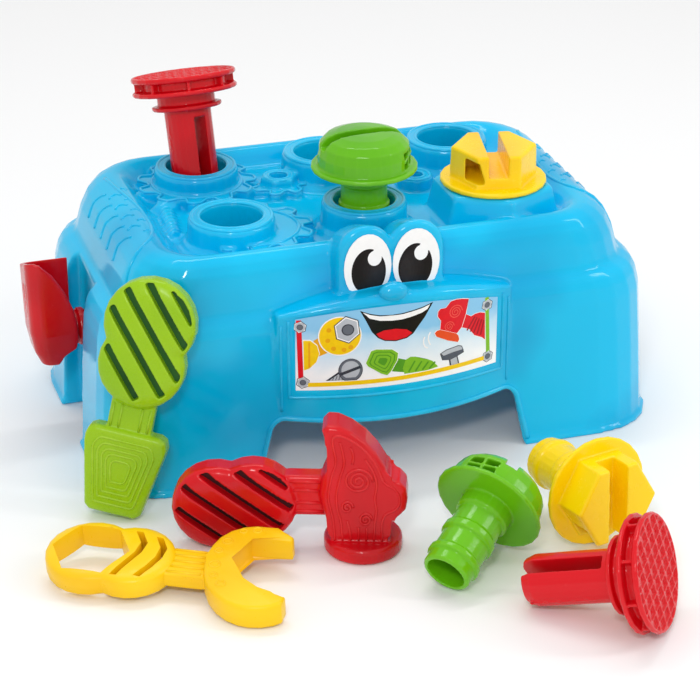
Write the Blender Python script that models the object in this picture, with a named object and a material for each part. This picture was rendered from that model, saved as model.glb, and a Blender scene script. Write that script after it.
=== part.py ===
"""Toy workbench with pegs and hand tools. Lengths below are millimetres, the model is metres, +Z up."""
import math

import bmesh
import bpy
from mathutils import Matrix, Vector

MM = 0.001
GAP = 0.3

# where the middle of the bench stands on the floor, so that the whole set is centred on the origin
BENCH_X = 22.0
BENCH_Y = 109.2

# bench shell
WALL = 2.6
COL = 76.0
ROW = 39.0
COLLAR_R = 24.0
HOLE_R = 17.0
COLLAR_TOP = 136.6
HEX_TOP = 138.2
DECK_Z = 120.0
OUTER_RINGS = (
    (0.0, 163.5, 98.5, 39.0), (2.5, 163.5, 98.5, 39.0), (2.9, 161.5, 96.5, 38.0),
    (45.0, 159.4, 95.2, 38.0), (80.0, 157.0, 93.6, 37.0), (89.0, 155.0, 92.4, 37.0),
    (94.0, 152.4, 90.6, 36.0), (96.8, 149.0, 88.4, 35.0), (97.8, 146.0, 86.8, 34.0),
    (100.5, 144.4, 86.0, 33.5), (112.0, 141.2, 85.0, 33.0), (121.0, 137.0, 83.6, 32.0),
    (126.5, 132.0, 81.2, 30.0), (129.3, 127.0, 78.4, 28.0), (130.2, 122.0, 75.4, 25.0),
    (129.6, 118.0, 72.6, 21.5), (127.0, 114.6, 70.2, 20.0), (122.0, 110.4, 67.4, 19.0),
    (DECK_Z, 107.0, 65.2, 18.0),
)
INNER_RINGS = (
    (-1.0, 160.8, 95.8, 36.5), (3.0, 158.8, 93.8, 35.4), (45.0, 156.8, 92.6, 35.4),
    (80.0, 154.4, 91.0, 34.4), (88.0, 152.4, 89.8, 34.0), (94.6, 145.0, 84.8, 31.6),
    (100.0, 141.8, 83.4, 31.0), (112.0, 138.4, 82.2, 30.0), (119.5, 134.6, 80.8, 29.4),
    (125.0, 129.4, 78.4, 27.4), (127.4, 122.6, 74.8, 24.4), (126.4, 119.4, 72.6, 22.4),
    (121.4, 114.4, 69.8, 21.4), (117.4, 110.4, 67.6, 20.8),
)
ARCH_HALF_FLOOR = 78.0
ARCH_HALF_TOP = 71.0
ARCH_TOP = 36.5
SIDE_ARCH_Y = 4.0
SIDE_ARCH_HALF = 23.0
SIDE_ARCH_TOP = 41.0
BAY_X = -149.0
BAY_HALF = 24.0

# convex front panel and its label
PANEL_HALF = 67.0
PANEL_EDGE_Y = -95.0
PANEL_BULGE = 13.0
RIDGE_BASE = 97.0
RIDGE_TOP = 109.0
LABEL_HALF = 58.0
LABEL_LOW = 54.5
LABEL_DEPTH = 1.2
LABEL_SHEET = 0.6

# raised eyes
FACE_X = -2.5
LOBE_X = 14.2
LOBE_R = 16.1
LOBE_Z = 128.0
DOME_FRONT = -95.0
DOME_BACK = -67.0
DOME_FALL = 11.0
EYE_APART = 13.7
EYE_HALF_X = 13.3
EYE_HALF_Z = 19.0
EYE_Z = 121.0

# vice
VICE_Z = 61.5
STEM_R = 10.8
STEM_HOLE_R = 11.6

# pegs
FLANGE_R = 29.6
SEG = 24

# the way the tools face, and how they lie
HAMMER_TURN = -20.0
WRENCH_TURN = -29.5
WRENCH_TIP = 8.0
DRIVER_TURN = -24.0
DRIVER_BACK = -12.5
DRIVER_ASIDE = 11.0


def clear_scene():
    for item in list(bpy.data.objects):
        bpy.data.objects.remove(item, do_unlink=True)


def plastic(name, colour):
    mat = bpy.data.materials.new(name + "_plastic")
    mat.use_nodes = True
    shader = mat.node_tree.nodes["Principled BSDF"]
    shader.inputs["Base Color"].default_value = (colour[0], colour[1], colour[2], 1.0)
    shader.inputs["Roughness"].default_value = 0.28
    return mat


BLUE = (0.01, 0.42, 0.76)
RED = (0.72, 0.02, 0.03)
GREEN = (0.26, 0.56, 0.03)
YELLOW = (0.93, 0.62, 0.01)
PAPER = (0.82, 0.86, 0.9)
WHITE = (0.9, 0.9, 0.9)


def make(name, bm):
    bmesh.ops.recalc_face_normals(bm, faces=bm.faces[:])
    mesh = bpy.data.meshes.new(name)
    bm.to_mesh(mesh)
    bm.free()
    obj = bpy.data.objects.new(name, mesh)
    bpy.context.scene.collection.objects.link(obj)
    return obj


def finish(obj, colour):
    obj.data.materials.clear()
    obj.data.materials.append(plastic(obj.name, colour))
    return obj


def loft(name, rings, close=True):
    """A closed skin through rings of equal point count, given in millimetres."""
    bm = bmesh.new()
    rows = []
    for ring in rings:
        rows.append([bm.verts.new(Vector(p) * MM) for p in ring])
    count = len(rows[0])
    for low, high in zip(rows, rows[1:]):
        for k in range(count):
            n = (k + 1) % count
            bm.faces.new((low[k], low[n], high[n], high[k]))
    if close:
        bm.faces.new(list(reversed(rows[0])))
        bm.faces.new(rows[-1])
    return make(name, bm)


def rounded_rect(half_x, half_y, radius, z, steps=5):
    points = []
    for corner, start in (((1, 1), 0.0), ((-1, 1), 90.0), ((-1, -1), 180.0), ((1, -1), 270.0)):
        cx = corner[0] * (half_x - radius)
        cy = corner[1] * (half_y - radius)
        for k in range(steps + 1):
            a = math.radians(start + 90.0 * k / steps)
            points.append((cx + radius * math.cos(a), cy + radius * math.sin(a), z))
    return points


def circle(radius, z, count=SEG, cx=0.0, cy=0.0, start=0.0):
    points = []
    for k in range(count):
        a = start + 2.0 * math.pi * k / count
        points.append((cx + radius * math.cos(a), cy + radius * math.sin(a), z))
    return points


def lathe(name, profile, count=SEG):
    """A turned body from (radius, height) pairs, run from the bottom to the top."""
    return loft(name, [circle(r, z, count) for r, z in profile])


def tube(name, radius, z0, z1, cx, cy, count=SEG):
    return loft(name, [circle(radius, z0, count, cx, cy), circle(radius, z1, count, cx, cy)])


def block(name, x0, x1, y0, y1, z0, z1):
    low = [(x0, y0, z0), (x1, y0, z0), (x1, y1, z0), (x0, y1, z0)]
    high = [(x, y, z1) for x, y, z in low]
    return loft(name, [low, high])


def slab(name, outline, y0, y1, front_round=0.0, steps=2):
    """An outline in X and Z given thickness along Y; the edge round the y0 face can be rounded."""
    bm = bmesh.new()
    front = [bm.verts.new(Vector((x, y0, z)) * MM) for x, z in outline]
    back = [bm.verts.new(Vector((x, y1, z)) * MM) for x, z in outline]
    count = len(outline)
    cap = bm.faces.new(front)
    bm.faces.new(list(reversed(back)))
    for k in range(count):
        n = (k + 1) % count
        bm.faces.new((front[n], front[k], back[k], back[n]))
    if front_round > 0.0:
        bmesh.ops.bevel(bm, geom=list(cap.edges), offset=front_round * MM, segments=steps,
                        profile=0.5, affect="EDGES", clamp_overlap=True)
    return make(name, bm)


def combine(obj, others, operation):
    """Boolean with each of the others in turn, which are used up."""
    for other in others:
        mod = obj.modifiers.new(operation, "BOOLEAN")
        mod.operation = operation
        mod.solver = "EXACT"
        mod.object = other
    bpy.context.view_layer.update()
    graph = bpy.context.evaluated_depsgraph_get()
    mesh = bpy.data.meshes.new_from_object(obj.evaluated_get(graph))
    obj.modifiers.clear()
    obj.data = mesh
    for other in others:
        bpy.data.objects.remove(other, do_unlink=True)
    return obj


def tidy(obj, distance=0.000004):
    bm = bmesh.new()
    bm.from_mesh(obj.data)
    bmesh.ops.remove_doubles(bm, verts=bm.verts[:], dist=distance)
    bmesh.ops.dissolve_degenerate(bm, edges=bm.edges[:], dist=distance)
    bmesh.ops.triangulate(bm, faces=bm.faces[:])
    bm.to_mesh(obj.data)
    bm.free()
    return obj


def place(obj, x, y, z):
    """Stands a piece at a place given from the middle of the bench."""
    obj.location = Vector((x + BENCH_X, y + BENCH_Y, z)) * MM
    return obj


def panel_y(x):
    return PANEL_EDGE_Y - PANEL_BULGE * (1.0 - (x / PANEL_HALF) ** 2)


def ridge_z(x, z):
    """Heights above the ledge line sink towards the panel's sides."""
    if z <= RIDGE_BASE:
        return z
    return RIDGE_BASE + (z - RIDGE_BASE) * (1.0 - 0.85 * (x / PANEL_HALF) ** 2)


def panel_body(name, half, profile):
    """Profiles in Y and Z, run along X over the panel's convex face; pairs are (depth, height)."""
    rows = []
    for k in range(17):
        x = -half + 2.0 * half * k / 16
        face = panel_y(x)
        rows.append([(x, depth if fixed else face + depth, ridge_z(x, z)) for depth, z, fixed in profile])
    return loft(name, rows)


def front_panel():
    return panel_body("panel", PANEL_HALF, (
        (-80.0, 25.0, True), (0.0, 25.0, False), (0.0, RIDGE_TOP - 5.0, False),
        (1.0, RIDGE_TOP - 2.4, False), (3.4, RIDGE_TOP - 0.7, False), (7.0, RIDGE_TOP, False),
        (-80.0, RIDGE_TOP, True)))


def panel_void():
    return panel_body("panel_void", PANEL_HALF - WALL, (
        (-77.0, -2.0, True), (WALL, -2.0, False), (WALL, 96.0, False), (8.0, 102.0, False),
        (-77.0, 103.0, True)))


def label_top(x):
    return 96.0 + 6.6 * (1.0 - (x / LABEL_HALF) ** 2) - 0.022 * x


def curved_sheet(name, half, outer, inner, low, lift):
    """A sheet that follows the convex panel, between two depths below its face."""
    rows = []
    for k in range(17):
        x = -half + 2.0 * half * k / 16
        top = label_top(x) + lift
        rows.append([(x, panel_y(x) + inner, low), (x, panel_y(x) + outer, low),
                     (x, panel_y(x) + outer, top), (x, panel_y(x) + inner, top)])
    return loft(name, rows)


def lobe_outline(inset):
    points = []
    r = LOBE_R - inset
    low = 96.0
    reach = math.acos(LOBE_X / r) if r > LOBE_X else 0.0
    points.append((LOBE_X + r, low))
    for k in range(11):
        a = (math.pi - reach) * k / 10
        points.append((LOBE_X + r * math.cos(a), LOBE_Z + r * math.sin(a)))
    for k in range(1, 11):
        a = reach + (math.pi - reach) * k / 10
        points.append((-LOBE_X + r * math.cos(a), LOBE_Z + r * math.sin(a)))
    points.append((-LOBE_X - r, low))
    return points


def stack(name, levels, outline):
    """A skin through outlines in X and Z at (depth, inset) levels along Y."""
    return loft(name, [[(x, y, z) for x, z in outline(inset)] for y, inset in levels])


def dome_body(name, levels):
    """The two lobes, sinking towards the deck behind them."""
    rings = []
    for y, inset in levels:
        sink = DOME_FALL * max(0.0, y - DOME_FRONT - 4.0) / (DOME_BACK - DOME_FRONT)
        rings.append([(x + FACE_X, y, z - sink if z > 100.0 else z) for x, z in lobe_outline(inset)])
    return loft(name, rings)


def eye_dome():
    return dome_body("dome", ((DOME_BACK, 1.5), (DOME_BACK - 4.0, 0.0), (DOME_FRONT + 2.8, 0.0),
                              (DOME_FRONT + 0.9, 0.8), (DOME_FRONT, 2.4)))


def dome_void():
    return dome_body("dome_void", ((-80.0, WALL + 0.3), (DOME_FRONT + WALL, WALL + 0.3)))


def nose():
    rings = []
    for k in range(1, 8):
        a = math.pi * k / 8
        rings.append([(FACE_X - 0.8 + 8.8 * math.sin(a) * math.cos(2 * math.pi * j / 14),
                       -102.4 - 6.0 * math.cos(a),
                       107.6 + 5.0 * math.sin(a) * math.sin(2 * math.pi * j / 14))
                      for j in range(14)])
    return loft("nose", rings)


def gear(name, cx, cy, root, tip, teeth, z0, z1, turn):
    outline = []
    for k in range(teeth):
        a = turn + 2.0 * math.pi * k / teeth
        step = 2.0 * math.pi / teeth
        for part, radius in ((0.0, root), (0.28, root), (0.4, tip), (0.58, tip + 0.6), (0.76, tip)):
            outline.append((cx + radius * math.cos(a + part * step),
                            cy + radius * math.sin(a + part * step)))
    return loft(name, [[(x, y, z) for x, y in outline] for z in (z0, z1)])


def arch_outline(half_low, half_top, top, round_r, shift=0.0, dip=0.0):
    points = [(shift - half_low, -5.0), (shift + half_low, -5.0)]
    for k in range(5):
        a = math.radians(10.0 + 80.0 * k / 4)
        points.append((shift + half_top - round_r + round_r * math.cos(a),
                       top - round_r + round_r * math.sin(a)))
    points.append((shift, top - dip))
    for k in range(5):
        a = math.radians(90.0 + 80.0 * k / 4)
        points.append((shift - half_top + round_r + round_r * math.cos(a),
                       top - round_r + round_r * math.sin(a)))
    return points


def along_x(name, outline, x0, x1):
    """An outline in Y and Z run along X."""
    return loft(name, [[(x, y, z) for y, z in outline] for x in (x0, x1)])


def disc_along_x(name, radius, x0, x1, y, z, count=28):
    rings = []
    for x in (x0, x1):
        rings.append([(x, y + radius * math.cos(2 * math.pi * k / count),
                       z + radius * math.sin(2 * math.pi * k / count)) for k in range(count)])
    return loft(name, rings)


def hex_ring(radius, z, cx, cy, start=0.0):
    return circle(radius, z, 6, cx, cy, start)


COLLARS = ((-COL, ROW), (-COL, -ROW), (0.0, ROW), (0.0, -ROW), (COL, ROW), (COL, -ROW))


def bench_shell():
    body = loft("bench_shell", [rounded_rect(a, b, r, z) for z, a, b, r in OUTER_RINGS])
    add = [front_panel(), eye_dome(), nose()]
    add.append(gear("g1", -COL, ROW, 29.0, 34.5, 11, 118.6, 126.4, 0.1))
    add.append(gear("g2", -64.0, -37.0, 29.0, 34.5, 11, 118.4, 126.6, 0.25))
    add.append(gear("g3", -31.0, 25.0, 13.0, 17.2, 7, 118.8, 124.6, 0.2))
    add.append(loft("nut", [hex_ring(11.5, 119.0, -31.0, 25.0), hex_ring(10.6, 130.0, -31.0, 25.0)]))
    add.append(tube("ring_boss", 10.5, 118.9, 127.5, 46.0, 8.0, 24))
    point = math.radians(30.0)
    add.append(loft("hex_base", [hex_ring(38.5, 118.2, COL, -ROW, point),
                                 hex_ring(34.0, HEX_TOP - 1.5, COL, -ROW, point),
                                 hex_ring(32.4, HEX_TOP, COL, -ROW, point)]))
    for k, (x, y) in enumerate(COLLARS[:5]):
        ring = [circle(COLLAR_R + 0.8, 118.0, SEG, x, y), circle(COLLAR_R, COLLAR_TOP - 2.0, SEG, x, y),
                circle(COLLAR_R - 1.6, COLLAR_TOP, SEG, x, y)]
        add.append(loft("collar%d" % k, ring))
    combine(body, add, "UNION")
    bay = arch_outline(BAY_HALF + 1.0, BAY_HALF - 1.0, 108.0, 6.0, SIDE_ARCH_Y)
    combine(body, [along_x("bay", bay, -175.0, BAY_X)], "DIFFERENCE")
    void = loft("void", [rounded_rect(a, b, r, z) for z, a, b, r in INNER_RINGS])
    combine(void, [panel_void(), dome_void()], "UNION")
    keep = arch_outline(BAY_HALF + 1.0 + WALL, BAY_HALF - 1.0 + WALL, 110.0, 7.0, SIDE_ARCH_Y)
    combine(void, [along_x("bay_keep", keep, -176.0, BAY_X + WALL)], "DIFFERENCE")
    cut = [void]
    front = arch_outline(ARCH_HALF_FLOOR, ARCH_HALF_TOP, ARCH_TOP, 9.0, 0.0, 2.5)
    cut.append(slab("front_arch", front, -130.0, -60.0))
    back = arch_outline(ARCH_HALF_FLOOR, ARCH_HALF_TOP, ARCH_TOP, 9.0)
    cut.append(slab("back_arch", back, 60.0, 130.0))
    side = arch_outline(SIDE_ARCH_HALF, SIDE_ARCH_HALF - 4.0, SIDE_ARCH_TOP, 8.0, SIDE_ARCH_Y)
    cut.append(along_x("left_arch", side, -180.0, -120.0))
    cut.append(along_x("right_arch", side, 120.0, 180.0))
    for k, (x, y) in enumerate(COLLARS):
        cut.append(tube("hole%d" % k, HOLE_R, 90.0, 150.0, x, y))
    cut.append(tube("nut_hole", 5.2, 124.0, 140.0, -31.0, 25.0, 20))
    cut.append(tube("boss_hole", 4.6, 121.6, 140.0, 46.0, 8.0, 20))
    cut.append(curved_sheet("label_bed", LABEL_HALF, -6.0, LABEL_DEPTH, LABEL_LOW, 0.0))
    combine(body, cut, "DIFFERENCE")
    sleeve = disc_along_x("sleeve", STEM_HOLE_R + 2.4, BAY_X + 0.8, BAY_X + 13.0, SIDE_ARCH_Y, VICE_Z)
    combine(body, [sleeve], "UNION")
    bore = disc_along_x("bore", STEM_HOLE_R, BAY_X - 12.0, BAY_X + 20.0, SIDE_ARCH_Y, VICE_Z)
    combine(body, [bore], "DIFFERENCE")
    tidy(body)
    return place(finish(body, BLUE), 0.0, 0.0, 0.0)


def front_label():
    sheet = curved_sheet("front_label", LABEL_HALF - GAP, LABEL_DEPTH - GAP - LABEL_SHEET,
                         LABEL_DEPTH - GAP, LABEL_LOW + GAP, -GAP)
    tidy(sheet)
    return place(finish(sheet, PAPER), 0.0, 0.0, 0.0)


def eye_label(name, side):
    outline = []
    for k in range(28):
        a = 2.0 * math.pi * k / 28
        x = FACE_X + side * EYE_APART + EYE_HALF_X * math.cos(a)
        outline.append((x, max(EYE_Z + EYE_HALF_Z * math.sin(a), ridge_z(x, RIDGE_TOP) + 0.4)))
    front = DOME_FRONT - GAP - 0.5
    sheet = slab(name, outline, front, DOME_FRONT - GAP)
    tidy(sheet, 0.0001)
    return place(finish(sheet, WHITE), 0.0, 0.0, 0.0)


def jaw_plan(x_open, x_back, half, round_r, z):
    points = [(x_open, -half, z), (x_open, half, z)]
    for k in range(6):
        a = math.radians(90.0 + 90.0 * k / 5)
        points.append((x_back + round_r + round_r * math.cos(a),
                       half - round_r + round_r * math.sin(a), z))
    for k in range(6):
        a = math.radians(180.0 + 90.0 * k / 5)
        points.append((x_back + round_r + round_r * math.cos(a),
                       -half + round_r + round_r * math.sin(a), z))
    return points


JAW_HALF = 15.0
JAW_X = -157.5


def vice_jaw():
    body = loft("vice_jaw", [jaw_plan(JAW_X, -178.5, 12.0, 6.0, 44.5),
                             jaw_plan(JAW_X, -182.0, 13.6, 7.0, 52.0),
                             jaw_plan(JAW_X, -184.2, JAW_HALF, 8.0, 64.0),
                             jaw_plan(JAW_X, -185.6, JAW_HALF, 8.0, 112.0)])
    void = loft("jaw_void", [jaw_plan(-150.0, -175.0, 9.6, 4.5, 47.5),
                             jaw_plan(-150.0, -179.0, 11.2, 5.0, 54.0),
                             jaw_plan(-150.0, -181.4, JAW_HALF - 2.5, 6.0, 64.0),
                             jaw_plan(-150.0, -183.0, JAW_HALF - 2.5, 6.0, 116.0)])
    seat = disc_along_x("seat", 12.8, -184.0, -171.0, 0.0, VICE_Z)
    combine(void, [seat], "DIFFERENCE")
    rim = [(-140.0, 40.0), (-140.0, 120.0), (-187.5, 120.0), (-186.0, 110.0), (-178.0, 107.0),
           (-171.0, 100.0), (-165.0, 90.0), (-160.5, 79.0), (-158.6, 70.0), (-158.0, 60.0),
           (-159.5, 54.0), (-166.0, 50.0), (-168.0, 46.5), (-172.0, 40.0)]
    top = [(-20.0, 111.0), (20.0, 96.0), (20.0, 130.0), (-20.0, 130.0)]
    cuts = [void, slab("rim_cut", rim, -22.0, 6.0), along_x("top_cut", top, -200.0, -140.0)]
    low = [(-140.0, 40.0), (-172.0, 40.0), (-168.0, 46.5), (-166.0, 50.0), (-159.5, 54.0),
           (-158.0, 60.0), (-140.0, 60.0)]
    cuts.append(slab("low_cut", low, 4.0, 22.0))
    for k, y in enumerate((-6.0, 0.0, 6.0)):
        cuts.append(block("groove%d" % k, -189.0, -184.3, y - 0.9, y + 0.9, 62.0 + 3 * k, 94.0 - 2 * k))
    combine(body, cuts, "DIFFERENCE")
    tidy(body)
    return place(finish(body, RED), 0.0, SIDE_ARCH_Y, 0.0)


def ribbed_stem():
    """The stem runs along X from the jaw seat into the bench; ribs stand proud of a slimmer core."""
    profile = [(-170.7, STEM_R)]
    x = -167.0
    while x < -112.0:
        profile.append((x, STEM_R))
        profile.append((x + 0.9, STEM_R - 1.4))
        profile.append((x + 3.2, STEM_R - 1.4))
        profile.append((x + 4.1, STEM_R))
        x += 7.2
    profile.append((-108.0, STEM_R))
    profile.append((-108.0 + 0.01, 6.0))
    profile.append((-101.0, 6.0))
    rings = []
    for x, r in profile:
        rings.append([(x, r * math.cos(2 * math.pi * k / 18),
                       VICE_Z + r * math.sin(2 * math.pi * k / 18)) for k in range(18)])
    body = loft("vice_stem", rings)
    tidy(body)
    return place(finish(body, RED), 0.0, SIDE_ARCH_Y, 0.0)


def vice_stop():
    body = disc_along_x("vice_stop", 15.0, -107.7, -102.5, 0.0, VICE_Z)
    bore = disc_along_x("stop_bore", 6.0 + GAP, -120.0, -90.0, 0.0, VICE_Z)
    combine(body, [bore], "DIFFERENCE")
    tidy(body)
    return place(finish(body, RED), 0.0, SIDE_ARCH_Y, 0.0)


NAIL_LENGTH = 70.0


def nail(name):
    """Origin at the middle of the struck face, shank running down -Z."""
    body = lathe(name, [
        (7.0, -NAIL_LENGTH), (11.4, -68.0), (13.3, -63.0), (13.5, -20.6), (19.4, -20.4), (20.0, -19.6),
        (20.0, -18.0), (16.6, -17.6), (16.6, -11.4), (29.2, -11.2), (30.0, -10.4), (30.0, -9.2),
        (29.2, -8.4), (24.0, -8.3), (24.0, -3.4), (29.2, -3.3), (30.0, -2.5), (30.0, -1.0), (28.6, 0.0)])
    combine(body, [block("prong_gap", -20.0, 20.0, -3.6, 3.6, -80.0, -25.0)], "DIFFERENCE")
    tidy(body)
    return finish(body, RED)


SCREW_SHANK = 46.0


def screw(name):
    """Origin in the middle of the flange's underside."""
    body = lathe(name, [
        (11.4, -SCREW_SHANK), (12.9, -45.2), (13.0, -39.4), (14.4, -38.6), (14.4, -35.6), (13.0, -34.8),
        (13.0, -24.6), (14.4, -23.8), (14.4, -19.6), (13.0, -18.8), (13.0, -8.4), (14.4, -7.6),
        (14.4, 0.0), (29.0, 0.0), (FLANGE_R, 0.6), (FLANGE_R, 2.0), (29.0, 2.7), (26.2, 2.8),
        (26.0, 9.6), (24.6, 15.0), (21.2, 18.6), (15.6, 20.6), (8.5, 21.2)])
    cuts = [tube("core", 10.4, -60.0, 4.0, 0.0, 0.0, 24)]
    cuts.append(block("slot", -40.0, 40.0, -3.4, 3.4, 13.4, 40.0))
    for k, turn in enumerate((-32.0, 148.0)):
        window = block("window%d" % k, 17.0, 40.0, -8.4, 8.4, 3.4, 12.4)
        window.rotation_euler = (0.0, 0.0, math.radians(turn))
        cuts.append(window)
    combine(body, cuts, "DIFFERENCE")
    tidy(body)
    return finish(body, GREEN)


def bolt(name):
    """Origin in the middle of the flange's underside."""
    body = lathe(name, [
        (10.0, -46.0), (12.6, -43.6), (13.0, -38.0), (14.2, -37.2), (14.2, -34.0), (13.0, -33.2),
        (13.0, -22.0), (14.2, -21.2), (14.2, -18.0), (13.0, -17.2), (13.0, 0.0), (29.2, 0.0),
        (30.0, 0.7), (30.0, 2.2), (29.2, 2.9), (20.0, 3.0)])
    head = loft("head", [circle(24.6, 2.0, 6), circle(24.2, 20.2, 6), circle(23.2, 21.4, 6)])
    combine(body, [head], "UNION")
    cuts = [block("slot", -5.6, 5.6, -40.0, 40.0, 8.6, 40.0)]
    pocket = [(-17.4, 5.4), (-8.0, 5.4), (-8.0, 7.6), (-11.0, 18.0), (-17.4, 18.0)]
    cuts.append(slab("pocket", pocket, -40.0, 8.4))
    combine(body, cuts, "DIFFERENCE")
    tidy(body)
    return finish(body, YELLOW)


def two_lobes(c1, r1, c2, r2, count=15):
    """Outline round two overlapping circles, in X and Z."""
    dx = c2[0] - c1[0]
    dz = c2[1] - c1[1]
    d = math.hypot(dx, dz)
    turn = math.atan2(dz, dx)
    a1 = math.acos((d * d + r1 * r1 - r2 * r2) / (2.0 * d * r1))
    a2 = math.acos((d * d + r2 * r2 - r1 * r1) / (2.0 * d * r2))
    points = []
    for k in range(count):
        a = turn + a1 + (2.0 * math.pi - 2.0 * a1) * k / count
        points.append((c1[0] + r1 * math.cos(a), c1[1] + r1 * math.sin(a)))
    for k in range(count):
        a = turn - (math.pi - a2) + 2.0 * (math.pi - a2) * k / count
        points.append((c2[0] + r2 * math.cos(a), c2[1] + r2 * math.sin(a)))
    return points


def scaled(outline, factor, cx, cz):
    return [(cx + (x - cx) * factor, cz + (z - cz) * factor) for x, z in outline]


def slot_bar(name, cx, cz, length, width, turn, y0, y1):
    a = math.radians(turn)
    ux, uz = math.cos(a) * length / 2.0, math.sin(a) * length / 2.0
    vx, vz = -math.sin(a) * width / 2.0, math.cos(a) * width / 2.0
    outline = [(cx - ux - vx, cz - uz - vz), (cx + ux - vx, cz + uz - vz),
               (cx + ux + vx, cz + uz + vz), (cx - ux + vx, cz - uz + vz)]
    return slab(name, outline, y0, y1)


def halves(front_name, back_name, build):
    """Two moulded halves that meet at Y = 0, the back one a mirror of the front one."""
    front = build(front_name)
    back = build(back_name)
    for vert in back.data.vertices:
        vert.co.y = -vert.co.y
    back.data.flip_normals()
    return front, back


SEAM = GAP / 2.0
EDGE_T = 4.2
DOME_IN = 11.5
SLOT_RIM = 1.9


def dome_levels(start, edge, top, inset):
    """Depths and insets of a pillow: a plain edge, then a quarter round to the flat middle."""
    levels = [(start, inset), (-edge, inset)]
    for k in range(1, 6):
        a = math.radians(18.0 * k)
        levels.append((-edge - (top - edge) * math.sin(a), inset + (DOME_IN - inset) * (1.0 - math.cos(a))))
    return levels


def lobed_handle(name, c1, r1, c2, r2, depth):
    """Half of a two-lobed handle, its outer face swelling over each lobe."""
    return stack(name, dome_levels(-SEAM, EDGE_T, depth, 0.0),
                 lambda inset: two_lobes(c1, r1 - inset, c2, r2 - inset))


def handle_cuts(c1, r1, c2, r2, depth, slots, turn):
    """The hollow of a handle half, with a trough left standing round each blind slot.

    The slots stop SLOT_RIM short of the handle's outline and follow it there.
    """
    rim = two_lobes(c1, r1 - SLOT_RIM, c2, r2 - SLOT_RIM)
    room = stack("room", dome_levels(5.0, EDGE_T - 1.8, depth - 2.2, 2.6),
                 lambda inset: two_lobes(c1, r1 - inset, c2, r2 - inset))
    troughs = []
    cuts = [room]
    for k, (x, z, length) in enumerate(slots):
        troughs.append(slot_bar("trough%d" % k, x, z, length + 4.0, 8.0, turn, -20.0, -1.4))
        slot = slot_bar("slot%d" % k, x, z, length, 4.4, turn, -20.0, -3.2)
        combine(slot, [slab("rim%d" % k, rim, -22.0, 0.0)], "INTERSECT")
        cuts.append(slot)
    combine(room, troughs, "DIFFERENCE")
    return cuts


HAMMER_SLOTS = ((-9.1, 15.7, 29.0), (2.3, 22.6, 50.0), (12.1, 30.6, 54.0), (23.4, 36.9, 39.0),
                (29.4, 43.8, 20.0))
DRIVER_SLOTS = ((-9.5, 78.2, 33.0), (-3.5, 91.0, 55.0), (2.5, 102.2, 58.0), (7.9, 114.0, 44.0),
                (14.6, 121.6, 26.0))


HEAD_T = 10.0


def hammer_half(name):
    a, b = (0.0, 24.0), (19.0, 27.2)
    body = lobed_handle(name, a, 23.8, b, 22.8, 9.6)
    neck = slab("neck", [(36.0, 20.5), (60.0, 20.5), (60.0, 43.5), (36.0, 43.5)], -5.4, -SEAM, 1.2, 1)
    head_outline = [(60.0, 4.0), (89.0, 4.0), (88.4, 13.0), (89.4, 22.0), (94.6, 23.0), (98.0, 27.0),
                    (98.8, 33.0), (98.0, 39.0), (94.6, 43.0), (89.6, 44.0), (87.4, 51.0), (83.0, 58.6),
                    (77.0, 65.6), (70.0, 71.0), (63.0, 74.4), (57.4, 74.8), (54.6, 71.6), (56.2, 66.4),
                    (59.2, 60.0), (59.6, 54.6), (57.0, 49.0), (54.2, 43.0), (53.2, 35.0), (54.6, 27.0),
                    (58.4, 17.0)]
    head = slab("head", head_outline, -HEAD_T, -SEAM, 3.0, 3)
    ring = [(75.6 + 20.6 * math.cos(math.radians(180.0 + 180.0 * k / 16)),
             -SEAM + 20.6 * math.sin(math.radians(180.0 + 180.0 * k / 16))) for k in range(17)]
    small = [(75.6 + (x - 75.6) * 0.94, -SEAM + (y + SEAM) * 0.94) for x, y in ring]
    foot = loft("foot", [[(x, y, 0.0) for x, y in small], [(x, y, 1.6) for x, y in ring],
                         [(x, y, 7.0) for x, y in ring], [(x, y, 8.6) for x, y in small]])
    combine(body, [neck, head, foot], "UNION")
    cuts = handle_cuts(a, 23.8, b, 22.8, 9.6, HAMMER_SLOTS, -36.5)
    room = [(63.0, 12.0), (84.0, 12.0), (85.0, 40.0), (80.0, 54.0), (68.0, 66.0), (63.6, 64.0), (58.0, 40.0)]
    cuts.append(slab("head_room", room, -HEAD_T + 3.4, 5.0))
    combine(body, cuts, "DIFFERENCE")
    return finish(tidy(body), RED)


def screwdriver_half(name):
    a, b = (0.0, 83.5), (0.0, 106.2)
    body = lobed_handle(name, a, 23.4, b, 24.6, 9.2)
    neck = slab("neck", [(-12.0, 43.0), (12.0, 43.0), (12.0, 65.0), (-12.0, 65.0)], -4.2, -SEAM, 1.0, 1)
    blade_outline = [(-12.4, 0.0), (12.4, 0.0), (15.4, 2.4), (21.6, 37.0), (22.2, 41.0), (20.8, 45.2),
                     (17.4, 47.0), (-17.4, 47.0), (-20.8, 45.2), (-22.2, 41.0), (-21.6, 37.0),
                     (-15.4, 2.4)]
    blade = slab("blade", blade_outline, -7.0, -SEAM, 3.0, 3)
    combine(body, [neck, blade], "UNION")
    cuts = handle_cuts(a, 23.4, b, 24.6, 9.2, DRIVER_SLOTS, -49.5)
    cuts.append(slab("blade_room", scaled(blade_outline, 0.76, 0.0, 24.0), -4.4, 5.0))
    combine(body, cuts, "DIFFERENCE")
    return finish(tidy(body), GREEN)


def s_slot(name, middle, half, y0, y1):
    """A slanting slot with a bend near one end."""
    outline = [(x + half, z) for x, z in middle] + [(x - half, z) for x, z in reversed(middle)]
    return slab(name, outline, y0, y1)


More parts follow.
